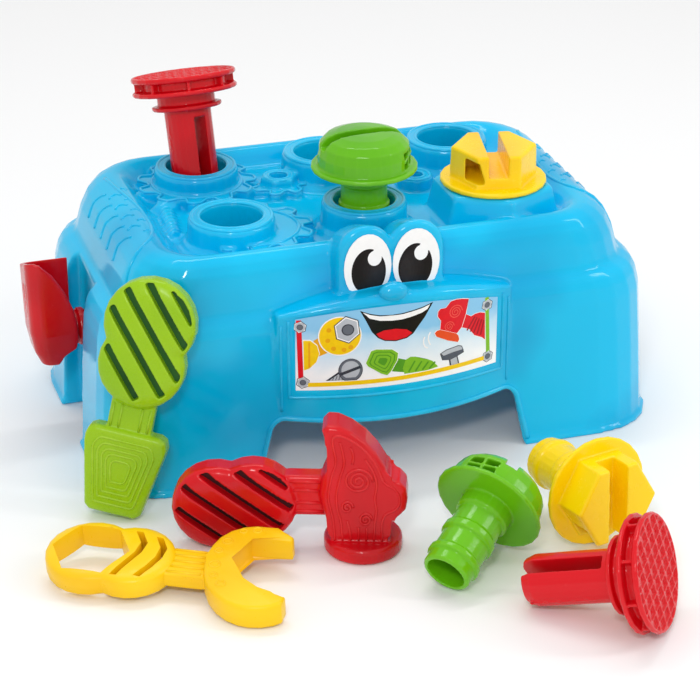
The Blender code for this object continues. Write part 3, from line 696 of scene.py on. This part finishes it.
def add_print(bm, outline, lift, curved, flat_y, index):
    """One flat ink shape with a little thickness, bent to the panel."""
    part = bmesh.new()
    face = part.faces.new([part.verts.new((x, 0.0, z)) for x, z in outline])
    bmesh.ops.triangulate(part, faces=[face], ngon_method="EAR_CLIP")
    if curved:
        low = int(min(x for x, _ in outline) // 2)
        high = int(max(x for x, _ in outline) // 2) + 1
        for k in range(low, high):
            geom = part.verts[:] + part.edges[:] + part.faces[:]
            bmesh.ops.bisect_plane(part, geom=geom, plane_co=(2.0 * k + 0.013, 0.0, 0.0),
                                   plane_no=(1.0, 0.0, 0.0))
    front = {}
    back = {}
    for vert in part.verts:
        surface = (panel_y(vert.co.x) if curved else flat_y) + lift
        front[vert] = bm.verts.new(at(vert.co.x, surface, vert.co.z))
        back[vert] = bm.verts.new(at(vert.co.x, surface + 0.03, vert.co.z))
    for face in part.faces:
        corners = list(face.verts)
        if face.normal.y > 0.0:
            corners.reverse()
        bm.faces.new([front[v] for v in corners]).material_index = index
        bm.faces.new([back[v] for v in reversed(corners)]).material_index = index
        for a, b in zip(corners, corners[1:] + corners[:1]):
            if len(part.edges.get((a, b)).link_faces) == 1:
                bm.faces.new((front[b], front[a], back[a], back[b])).material_index = index
    part.free()


def ribbon(points, width):
    """Short four-sided pieces that follow a line."""
    pieces = []
    for (x0, z0), (x1, z1) in zip(points, points[1:]):
        pieces.append(outline_bar(x0, z0, x1, z1, width))
    return pieces


def hex_nut(cx, cz, r, turn):
    """A hexagonal nut seen from above, for the label's corners."""
    a = math.radians(turn)
    return [(outline_disc(cx, cz, r * 1.14, None, 6, a), "slate"),
            (outline_disc(cx, cz, r, None, 6, a), "white"), (outline_disc(cx, cz, r * 0.86), "steel"),
            (outline_disc(cx, cz, r * 0.52), "slate"), (outline_disc(cx, cz, r * 0.38), "dark_steel")]


def outline_spiral(cx, cz, r, turns, width):
    """A thin printed line that winds inwards."""
    return ribbon(winding(cx, cz, r, turns, 14, 0.86), width)


def shrink(points, factor):
    """An outline scaled about its middle."""
    cx = sum(p[0] for p in points) / len(points)
    cz = sum(p[1] for p in points) / len(points)
    return [(cx + (x - cx) * factor, cz + (z - cz) * factor) for x, z in points]


def wrench_motif():
    """The yellow wrench with its ring round a nut, at the label's left."""
    lobe = [(-53.6, 84.6), (-50.0, 84.6), (-46.6, 81.6), (-45.4, 76.8), (-47.0, 71.8), (-50.6, 68.0),
            (-53.4, 66.9)]
    nut = [(-37.8, 93.2), (-31.6, 98.6), (-24.8, 95.8), (-23.8, 87.6), (-29.8, 82.2), (-36.6, 85.2)]
    group = [([(-48.4, 84.6), (-43.4, 87.4), (-40.6, 77.4), (-45.4, 75.2)], "amber"),
             (shrink(lobe, 1.08), "white"), (lobe, "yellow"),
             (outline_bar(-50.6, 83.6, -50.6, 68.6, 1.0), "amber"),
             (outline_disc(-34.5, 86.8, 11.6, None, 36), "white"),
             (outline_disc(-34.5, 86.8, 11.0, None, 36), "yellow")]
    for x, z in ((-41.0, 84.4), (-38.0, 79.6), (-32.4, 78.6), (-28.8, 80.0), (-40.4, 90.6)):
        group.append((outline_disc(x, z, 1.3), "amber"))
    group += [(nut, "outline"), (shrink(nut, 0.93), "white"), (shrink(nut, 0.84), "steel"),
              (outline_disc(-30.4, 90.4, 3.4), "outline"), (outline_disc(-30.4, 90.4, 2.8), "dark_steel")]
    return group


def screw_motif():
    """The grey slotted screw below the wrench."""
    group = [([(-42.2, 60.4), (-34.6, 66.0), (-31.6, 60.4)], "outline"),
             ([(-40.2, 60.6), (-34.6, 64.6), (-32.4, 60.6)], "steel")]
    for k in range(4):
        x = -38.6 + 1.7 * k
        group.append((outline_bar(x, 60.6, x + 0.8, 62.2 + 0.9 * k, 0.5), "dark_steel"))
    head = [(x, z) for x, z in outline_disc(-28.9, 66.2, 6.2, 6.6, 36) if z > 60.4]
    group += [(shrink(head, 1.06), "outline"), (head, "dark_steel"), (shrink(head, 0.8), "steel"),
              (outline_bar(-34.6, 63.9, -23.6, 67.9, 1.7), "outline")]
    return group


def driver_motif():
    """The green screwdriver below the mouth."""
    blade = [(-20.6, 69.8), (-17.8, 76.6), (-15.0, 77.4), (-6.2, 76.4), (-2.8, 73.8), (-3.2, 69.6),
             (-6.6, 63.4), (-8.8, 61.2), (-12.2, 62.6), (-19.6, 67.8)]
    handle = [(1.6, 69.0), (4.4, 70.4), (7.4, 70.0), (10.8, 67.8), (14.2, 67.4), (17.4, 65.6), (20.8, 61.6),
              (14.6, 60.6), (1.0, 60.6), (0.0, 64.0)]
    group = [([(-3.6, 70.9), (2.2, 68.9), (1.0, 61.6), (-6.4, 63.2)], "deep_green"), (handle, "green")]
    for k in range(4):
        x = 3.4 + 4.0 * k
        group.append((outline_bar(x, 61.4, x + 3.6, 67.6 - 0.9 * k, 1.0), "deep_green"))
    group.append((shrink(blade, 1.05), "white"))
    for k, factor in enumerate((1.0, 0.82, 0.74, 0.56, 0.48, 0.3)):
        group.append((shrink(blade, factor), "deep_green" if k % 2 else "green"))
    return group


def hammer_motif():
    """The red hammer at the label's right, with two spirals on its head."""
    handle = [(35.0, 89.6), (37.6, 89.3), (40.6, 87.4), (43.4, 88.3), (46.4, 88.3), (49.6, 87.2),
              (50.0, 70.9), (48.0, 72.8), (43.0, 75.4), (39.6, 80.0), (34.6, 82.2)]
    head = [(38.8, 98.3), (37.4, 96.4), (36.6, 93.4), (37.2, 89.6), (34.8, 82.4), (32.0, 79.4),
            (31.0, 76.6), (22.0, 80.4), (21.6, 83.6), (22.0, 88.8), (20.0, 91.8), (20.2, 94.6),
            (21.6, 96.0), (24.8, 96.0), (27.8, 99.2), (31.0, 99.7), (34.8, 99.3)]
    foot = [(21.6, 83.6), (19.6, 83.3), (18.4, 82.1), (19.4, 79.9), (26.6, 76.1), (32.6, 73.9),
            (33.4, 75.4), (32.8, 77.8), (31.4, 79.4)]
    group = [(shrink(handle, 1.05), "white"), (handle, "red")]
    for k in range(5):
        groove = outline_bar(38.2 + 2.2 * k, 79.4 - 1.2 * k, 43.0 + 1.5 * k, 86.6 - 0.9 * k, 0.9)
        group.append((groove, "deep_red"))
    group += [(shrink(head, 1.035), "white"), (head, "red"), (shrink(foot, 1.06), "white"),
              (foot, "orange"), (outline_spiral(30.8, 92.4, 4.2, 2.6, 0.5), "rose"),
              (outline_spiral(27.0, 84.4, 3.1, 2.2, 0.45), "rose")]
    return group


def bolt_motif():
    """The grey bolt below the hammer."""
    rim = [(21.8, 69.0), (25.8, 70.8), (33.0, 71.8), (35.2, 71.0), (36.2, 68.6), (36.6, 66.8),
           (31.6, 65.0), (28.0, 64.0), (23.2, 64.8)]
    top = [(22.6, 69.0), (26.0, 70.4), (33.0, 71.3), (34.9, 70.6), (35.6, 68.8), (30.0, 68.4),
           (24.0, 67.4)]
    return [([(27.2, 64.6), (32.6, 65.4), (33.8, 60.8), (27.9, 60.6)], "outline"),
            ([(28.2, 64.6), (32.0, 65.2), (33.0, 60.9), (28.8, 60.8)], "steel"),
            (rim, "outline"), (shrink(rim, 0.94), "slate"), (top, "steel")]


def mouth_motif():
    """The open, smiling mouth with its teeth and tongue."""
    top = [(-23.9, 101.0), (-18.5, 98.8), (-13.0, 97.4), (-6.4, 96.9), (-0.8, 97.1), (4.9, 97.9),
           (10.7, 99.0), (17.2, 101.0)]
    low = [(12.6, 93.2), (8.6, 88.0), (5.8, 84.2), (2.2, 82.0), (-4.0, 81.0), (-10.2, 81.9),
           (-14.0, 84.0), (-17.4, 88.0), (-20.8, 95.2)]
    teeth = [(-22.4, 99.9), (-18.3, 98.1), (-13.0, 96.8), (-6.4, 96.3), (-0.8, 96.5), (4.9, 97.3),
             (10.7, 98.4), (15.4, 99.9), (13.9, 97.4), (10.7, 95.8), (5.0, 94.4), (-0.7, 93.5),
             (-6.3, 93.5), (-13.0, 94.2), (-18.6, 96.0)]
    tongue = [(-15.0, 86.6), (-10.8, 88.2), (-4.1, 88.4), (2.0, 87.2), (5.2, 84.8), (2.0, 82.6),
              (-4.0, 81.6), (-10.2, 82.5), (-13.4, 84.4)]
    return [(top + low, "black"), (teeth, "white"), (tongue, "red")]


def label_art():
    """Everything printed on the front label."""
    swing = ((15.8, 83.3), (14.8, 81.4), (14.6, 79.2), (15.2, 77.0), (16.0, 75.6))
    echo = ((12.5, 81.0), (11.8, 79.2), (11.9, 77.0), (12.8, 75.0), (14.4, 74.0))
    edges = [(outline_bar(-55.9, 96.6, -55.0, 61.0, 2.7), "red"),
             (outline_bar(50.6, 96.2, 52.2, 62.0, 2.4), "green"),
             (outline_bar(-51.4, 58.2, 0.0, 58.5, 2.5), "yellow"),
             (outline_bar(-0.4, 58.5, 49.6, 59.8, 2.5), "yellow"),
             (ribbon(swing, 0.8), "white"), (ribbon(echo, 0.8), "white")]
    groups = [edges, wrench_motif(), screw_motif(), driver_motif(), hammer_motif(), bolt_motif(),
              mouth_motif()]
    for x, z in ((-55.3, 92.6), (-54.0, 59.6), (50.9, 91.6), (52.0, 60.2)):
        groups.append(hex_nut(x, z, 3.3, 20.0))
    print_layers("label_art", groups, SHEET_FACE, "bench")


def clipped_disc(cx, cz, rx, rz, low):
    """An ellipse's outline, cut off level below low."""
    return [(x, max(z, low)) for x, z in outline_disc(cx, cz, rx, rz, 48)]


def eye_art(name, cx, cz, shade_x, glint_x):
    """A pupil cut off by the brow ridge below it, with its glint opening to the upper right."""
    group = [(clipped_disc(cx, cz, 9.5, 13.1, 108.4), "black")]
    for k in range(5):
        middle = cx + (shade_x - cx) * (0.45 + 0.14 * k)
        shade = clipped_disc(middle, cz - 0.6 - 0.3 * k, 7.4 - 1.1 * k, 11.6 - 1.2 * k, 108.7)
        group.append((shade, "coal%d" % k))
    group += [(outline_disc(glint_x, 125.9, 3.9, 4.4, 32), "white"),
              (outline_disc(glint_x + 2.8, 129.7, 3.6, 3.4, 28), "white")]
    print_layers(name, [group], 0.0, "bench", False, EYE_FACE)


label_art()
eye_art("left_pupil", -15.9, 118.5, -10.4, -12.4)
eye_art("right_pupil", 10.8, 118.5, 5.4, 13.8)


# ---------------------------------------------------------------- vice

for name, voxel, rounds in (("vice_jaw", 0.7, 4), ("vice_stem", 0.6, 2), ("vice_stop", 0.6, 3)):
    moulded(name + "_skin", [name], "vice", RED, voxel, rounds)


# ---------------------------------------------------------------- pegs

NAIL_FACE = 28.4  # radius of a nail's struck face inside its rim


def attitude(direction, roll):
    """Turns a piece's own Z along direction, after a roll about it in degrees."""
    up = Vector(direction).normalized()
    return up.to_track_quat("Z", "Y").to_matrix().to_4x4() @ Matrix.Rotation(math.radians(roll), 4, "Z")


def standing(turn):
    """A turn about the upright axis, in degrees."""
    return Matrix.Rotation(math.radians(turn), 4, "Z")


def posed(x, y, z, matrix):
    """A turned piece put down at a place on the bench's grid."""
    return Matrix.Translation(at(x, y, z)) @ matrix


PEGS = {
    "seated_nail": posed(-78.2, 55.4, 187.0, attitude((-0.036, 0.273, 1.0), 100.0)),
    "seated_screw": posed(0.0, -39.0, 155.0, standing(3.0)),
    "loose_nail": posed(68.0, -296.5, 31.72, attitude((0.74, -0.61, 0.285), 120.0)),
    "loose_screw": posed(12.4, -207.8, 29.214, attitude((0.7, 0.59, 0.38), 116.0)),
}


def struck_grid(bm, matrix, grid_turn):
    """The grid of ribs on a nail's struck face and the rim round it."""
    grid = matrix @ Matrix.Rotation(math.radians(grid_turn), 4, "Z")
    for k in range(-3, 4):
        x = 8.2 * k
        reach = math.sqrt(NAIL_FACE ** 2 - x * x)
        add_box(bm, grid, x - 0.75, x + 0.75, -reach, reach, -2.4, -0.2)
    for k in range(-4, 5):
        y = 6.3 * k
        reach = math.sqrt(NAIL_FACE ** 2 - y * y)
        add_box(bm, grid, -reach, reach, y - 0.6, y + 0.6, -2.4, -0.3)
    rim = [(28.9 * math.cos(a), 28.9 * math.sin(a), -0.95) for a in around(48)]
    add_rod(bm, [matrix @ (Vector(p) * MM) for p in rim], 0.85 * MM, 8, True)


def prong_marks(bm, matrix, side):
    """A row of dashes and small rings down one prong of a nail."""
    for k in range(5):
        z = -30.0 - 7.2 * k
        dash = [(0.0, side * 13.4, z), (0.0, side * 13.4, z - 3.6)]
        add_rod(bm, [matrix @ (Vector(p) * MM) for p in dash], 0.55 * MM, 6)
        ring = [(1.5 * math.cos(a), side * 13.35, z - 5.4 + 1.3 * math.sin(a)) for a in around(10)]
        add_rod(bm, [matrix @ (Vector(p) * MM) for p in ring], 0.4 * MM, 6, True)


def nail_relief(matrix, grid_turn):
    """Sinks the struck face, then lays its grid, fins between the discs and marks on the prongs."""
    back = matrix.inverted()

    def relief(bm):
        for vert in bm.verts:
            local = back @ vert.co
            if local.z > -0.5 * MM:
                local.z = -1.5 * MM
                vert.co = matrix @ local
        struck_grid(bm, matrix, grid_turn)
        for a in range(0, 360, 45):
            fin = matrix @ Matrix.Rotation(math.radians(a + 20.0), 4, "Z")
            add_box(bm, fin, 22.0, NAIL_FACE, -0.8, 0.8, -8.8, -3.0)
        for side in (-1.0, 1.0):
            prong_marks(bm, matrix, side)
    return relief


def screw_relief_ribs(matrix):
    """A cross of ribs in each window of a screw's head."""

    def relief(bm):
        for turn in (-32.0, 148.0):
            window = matrix @ Matrix.Rotation(math.radians(turn), 4, "Z")
            add_box(bm, window, 16.4, 24.9, -0.8, 0.8, 3.0, 12.9)
            add_box(bm, window, 16.4, 24.9, -8.8, 8.8, 7.4, 8.8)
    return relief


for name, body, grid_turn in (("seated_nail", "peg_nail", 8.0), ("loose_nail", "floor_nail", 66.0)):
    moulded(name + "_skin", [name], body, RED, 0.5, 2, nail_relief(PEGS[name], grid_turn))
for name, body in (("seated_screw", "peg_screw"), ("loose_screw", "floor_screw")):
    moulded(name + "_skin", [name], body, SCREW_GREEN, 0.55, 3,
            screw_relief_ribs(PEGS[name]))
for name, body in (("seated_bolt", "peg_bolt"), ("loose_bolt", "floor_bolt")):
    moulded(name + "_skin", [name], body, BOLT_YELLOW, 0.55, 3)


# ---------------------------------------------------------------- hand tools

HAMMER = posed(-116.0, -151.7, 0.0, standing(-20.0))
WRENCH = posed(-186.2, -165.5, 11.203, standing(-29.5) @ Matrix.Rotation(math.radians(-82.0), 4, "X"))
DRIVER_LEAN = Matrix.Rotation(math.radians(-12.5), 4, "X") @ Matrix.Rotation(math.radians(11.0), 4, "Y")
DRIVER = posed(-162.9, -107.5, 3.176, standing(-24.0) @ DRIVER_LEAN)

# how far a tool's outer faces stand from its middle plane
HEAD_FACE = 10.0
BLADE_FACE = 7.0
JAW_FACE = 7.0


def face_rod(bm, matrix, side, points, depth, radius, closed=False):
    """A rod lying on a tool's outer face; points are in X and Z of the tool."""
    rod = [matrix @ (Vector((x, side * depth, z)) * MM) for x, z in points]
    add_rod(bm, rod, radius * MM, 6, closed)


def eased(points, gap=1.5, passes=4):
    """A line in X and Z, resampled and with its corners eased."""
    return [(p.x, p.z) for p in rounded_line([(x, 0.0, z) for x, z in points], gap, passes)]


def tool_lines(name, sides, body, material):
    """The same raised lines on both faces of a tool, left unmelted so that they stay crisp."""
    bm = bmesh.new()
    for side in (-1.0, 1.0):
        sides(bm, side)
    obj = mesh_object(name, bm, material)
    smooth_shading(obj)
    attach(obj, body)


def hammer_lines(bm, side):
    """Wood grain and three knots on the head, and ribs on the neck."""
    lines = (
        ((61.4, 9.0), (60.4, 22.0), (57.6, 34.0), (59.4, 46.0), (62.4, 55.0), (60.4, 64.0),
         (60.0, 70.5), (64.0, 70.6), (70.0, 67.4), (76.6, 62.0), (82.0, 55.0), (85.2, 47.6),
         (86.4, 42.4), (92.0, 40.4), (94.8, 36.0), (94.8, 30.0), (91.6, 26.4), (86.8, 25.4),
         (85.4, 18.0), (85.8, 9.0)),
        ((65.4, 9.0), (64.6, 20.0), (62.4, 28.0), (61.8, 35.0), (64.0, 46.0), (66.6, 54.0),
         (65.4, 61.0), (64.0, 66.4)),
        ((69.6, 9.0), (69.0, 16.0), (67.6, 20.6)),
        ((70.4, 54.0), (71.4, 59.0), (69.4, 63.4)),
        ((73.6, 9.0), (73.6, 17.0)),
        ((77.6, 9.0), (77.8, 16.6)),
        ((81.6, 9.0), (81.8, 18.0), (83.0, 27.0), (81.6, 35.0), (83.4, 42.0), (81.6, 49.0),
         (77.0, 57.0)),
    )
    for line in lines:
        face_rod(bm, HAMMER, side, eased(line), HEAD_FACE - 0.1, 0.75)
    for x, z, r, turns, squash, thick in ((73.4, 44.0, 7.6, 2.6, 1.0, 0.85),
                                          (67.6, 28.6, 3.8, 1.9, 0.85, 0.75),
                                          (77.2, 21.4, 4.2, 2.0, 0.85, 0.75)):
        face_rod(bm, HAMMER, side, winding(x, z, r, turns, 16, 0.85, squash), HEAD_FACE - 0.1, thick)
    for z in (23.4, 28.4, 35.6, 40.6):
        face_rod(bm, HAMMER, side, [(38.0, z), (56.0, z)], 5.2, 1.0)


def driver_lines(bm, side):
    """Nested outlines on the blade, and ribs on the neck."""
    outline = [(-13.6, 1.0), (13.6, 1.0), (21.0, 39.0), (17.4, 45.6), (-17.4, 45.6), (-21.0, 39.0)]
    for size in (0.8, 0.66, 0.53, 0.41, 0.27):
        points = [(x * size, 24.5 + (z - 24.5) * size) for x, z in outline]
        points.append(points[0])
        face_rod(bm, DRIVER, side, eased(points, 1.2, 3)[:-1], BLADE_FACE - 0.15, 0.7, True)
    for x in (-10.0, -5.6, 5.6, 10.0):
        face_rod(bm, DRIVER, side, [(x, 47.6), (x, 60.4)], 4.1, 0.75)


def wrench_lines(bm, side):
    """Ribs on the neck, and small rings scattered over the jaw."""
    for z in (-8.8, -4.4, 0.0, 4.4, 8.8):
        face_rod(bm, WRENCH, side, [(42.0, z), (60.0, z)], 4.2, 0.9)
    for x, z, r in ((65.0, 8.6, 1.9), (65.6, -2.4, 2.6), (67.0, -10.6, 1.7), (72.4, -17.0, 2.2),
                    (67.6, 16.6, 2.3), (73.6, 26.0, 1.7), (80.6, 28.0, 2.1)):
        face_rod(bm, WRENCH, side, outline_disc(x, z, r, count=20), JAW_FACE - 0.1, 0.6, True)


def inside(x, z, lobes):
    """Whether a point lies in any of the handle's round lobes."""
    return any(math.hypot(x - cx, z - cz) < r for cx, cz, r in lobes)


def painted_slot_shade(name, matrix, slots, turn, lobes, body, material):
    """Dark sheets of painted shade laid on the floors of a handle's slots, in narrow strips that stop at
    the handle's rim.
    """
    bm = bmesh.new()
    a = math.radians(turn)
    ux = math.cos(a)
    uz = math.sin(a)
    for x, z, length in slots:
        reach = length / 2.0 - 0.2
        steps = [0.25 * k for k in range(int(-4 * length), int(4 * length)) if abs(0.25 * k) < reach]
        for strip in range(6):
            w = -1.75 + 0.7 * strip
            kept = [t for t in steps if inside(x + ux * t - uz * w, z + uz * t + ux * w, lobes)]
            if len(kept) < 4:
                continue
            for side in (-1.0, 1.0):
                bar = Matrix.Translation(Vector((x, side * 3.6, z)) * MM) @ Matrix.Rotation(-a, 4, "Y")
                add_box(bm, matrix @ bar, kept[0], kept[-1], -0.35, 0.35, w - 0.36, w + 0.36)
    obj = mesh_object(name, bm, material)
    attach(obj, body)


# each slot: its middle in X and Z, and its length
HAMMER_SLOTS = ((-9.1, 15.7, 29.0), (2.3, 22.6, 50.0), (12.1, 30.6, 54.0), (23.4, 36.9, 39.0),
                (29.4, 43.8, 20.0))
DRIVER_SLOTS = ((-9.5, 78.2, 33.0), (-3.5, 91.0, 55.0), (2.5, 102.2, 58.0), (7.9, 114.0, 44.0),
                (14.6, 121.6, 26.0))
moulded("hammer_skin", ["hammer_front", "hammer_back"], "hammer", RED, 0.65, 3,
        close_seam(HAMMER), hollow=True)
moulded("screwdriver_skin", ["screwdriver_front", "screwdriver_back"], "screwdriver",
        GREEN, 0.65, 3, close_seam(DRIVER), hollow=True)
bevelled("wrench_skin", ["wrench_top", "wrench_bottom"], "wrench", YELLOW, 0.5,
         joined_seam(WRENCH))
tool_lines("hammer_lines", hammer_lines, "hammer", RED)
tool_lines("screwdriver_lines", driver_lines, "screwdriver", GREEN)
tool_lines("wrench_lines", wrench_lines, "wrench", YELLOW)
# dark sheets that paint the shade on the floors of the handles' slots
painted_slot_shade("hammer_painted_slot_shade", HAMMER, HAMMER_SLOTS, -36.5,
            ((0.0, 24.0, 21.8), (19.0, 27.2, 20.8)), "hammer", SLOT_SHADE_RED)
painted_slot_shade("screwdriver_painted_slot_shade", DRIVER, DRIVER_SLOTS, -49.5,
            ((0.0, 83.5, 21.4), (0.0, 106.2, 22.6)), "screwdriver", SLOT_SHADE_GREEN)


# ---------------------------------------------------------------- stage, lights and camera

def floor():
    """A wide matt floor just under the object."""
    mat = bpy.data.materials.new("studio_floor")
    mat.use_nodes = True
    shader = mat.node_tree.nodes["Principled BSDF"]
    shader.inputs["Base Color"].default_value = (0.93, 0.93, 0.93, 1.0)
    shader.inputs["Roughness"].default_value = 0.6
    shader.inputs["Specular IOR Level"].default_value = 0.2
    mesh = bpy.data.meshes.new("floor")
    mesh.from_pydata([(-12, -12, 0), (12, -12, 0), (12, 12, 0), (-12, 12, 0)], [], [(0, 1, 2, 3)])
    obj = bpy.data.objects.new("floor", mesh)
    obj.data.materials.append(mat)
    obj.location.z = -0.0002
    bpy.context.scene.collection.objects.link(obj)


def lamp(name, place, target, size, size_y, power):
    """A white rectangular light aimed at target."""
    data = bpy.data.lights.new(name, "AREA")
    data.shape = "RECTANGLE"
    data.size = size
    data.size_y = size_y
    data.energy = power
    obj = bpy.data.objects.new(name, data)
    obj.location = place
    obj.rotation_euler = (Vector(target) - Vector(place)).to_track_quat("-Z", "Y").to_euler()
    bpy.context.scene.collection.objects.link(obj)


def stage():
    """A white studio: the floor, an even sky and three soft lights."""
    floor()
    world = bpy.data.worlds.new("studio")
    world.use_nodes = True
    sky = world.node_tree.nodes["Background"]
    sky.inputs["Color"].default_value = (1.0, 1.0, 1.0, 1.0)
    sky.inputs["Strength"].default_value = 0.8
    bpy.context.scene.world = world
    lamp("overhead", (0.0, 0.35, 1.25), (0.0, 0.05, 0.0), 0.9, 0.1, 3.2)
    lamp("key", (-0.5, -1.15, 1.05), (0.0, 0.0, 0.05), 0.22, 0.16, 5.5)
    lamp("side", (0.95, -0.5, 0.8), (0.05, 0.0, 0.06), 0.14, 0.6, 2.2)
    bpy.context.scene.view_settings.view_transform = "Standard"


def camera():
    """The photograph's view: its place, tilt, turn and focal length came from a perspective fit."""
    data = bpy.data.cameras.new("camera")
    data.sensor_width = 36.0
    data.lens = 123.08
    data.clip_start = 0.05
    data.clip_end = 50.0
    obj = bpy.data.objects.new("camera", data)
    obj.location = (-0.3571, -1.0983, 0.6384)
    obj.rotation_euler = (math.radians(90.0 - 25.843), 0.0, math.radians(-17.611))
    bpy.context.scene.collection.objects.link(obj)
    bpy.context.scene.camera = obj


stage()
camera()
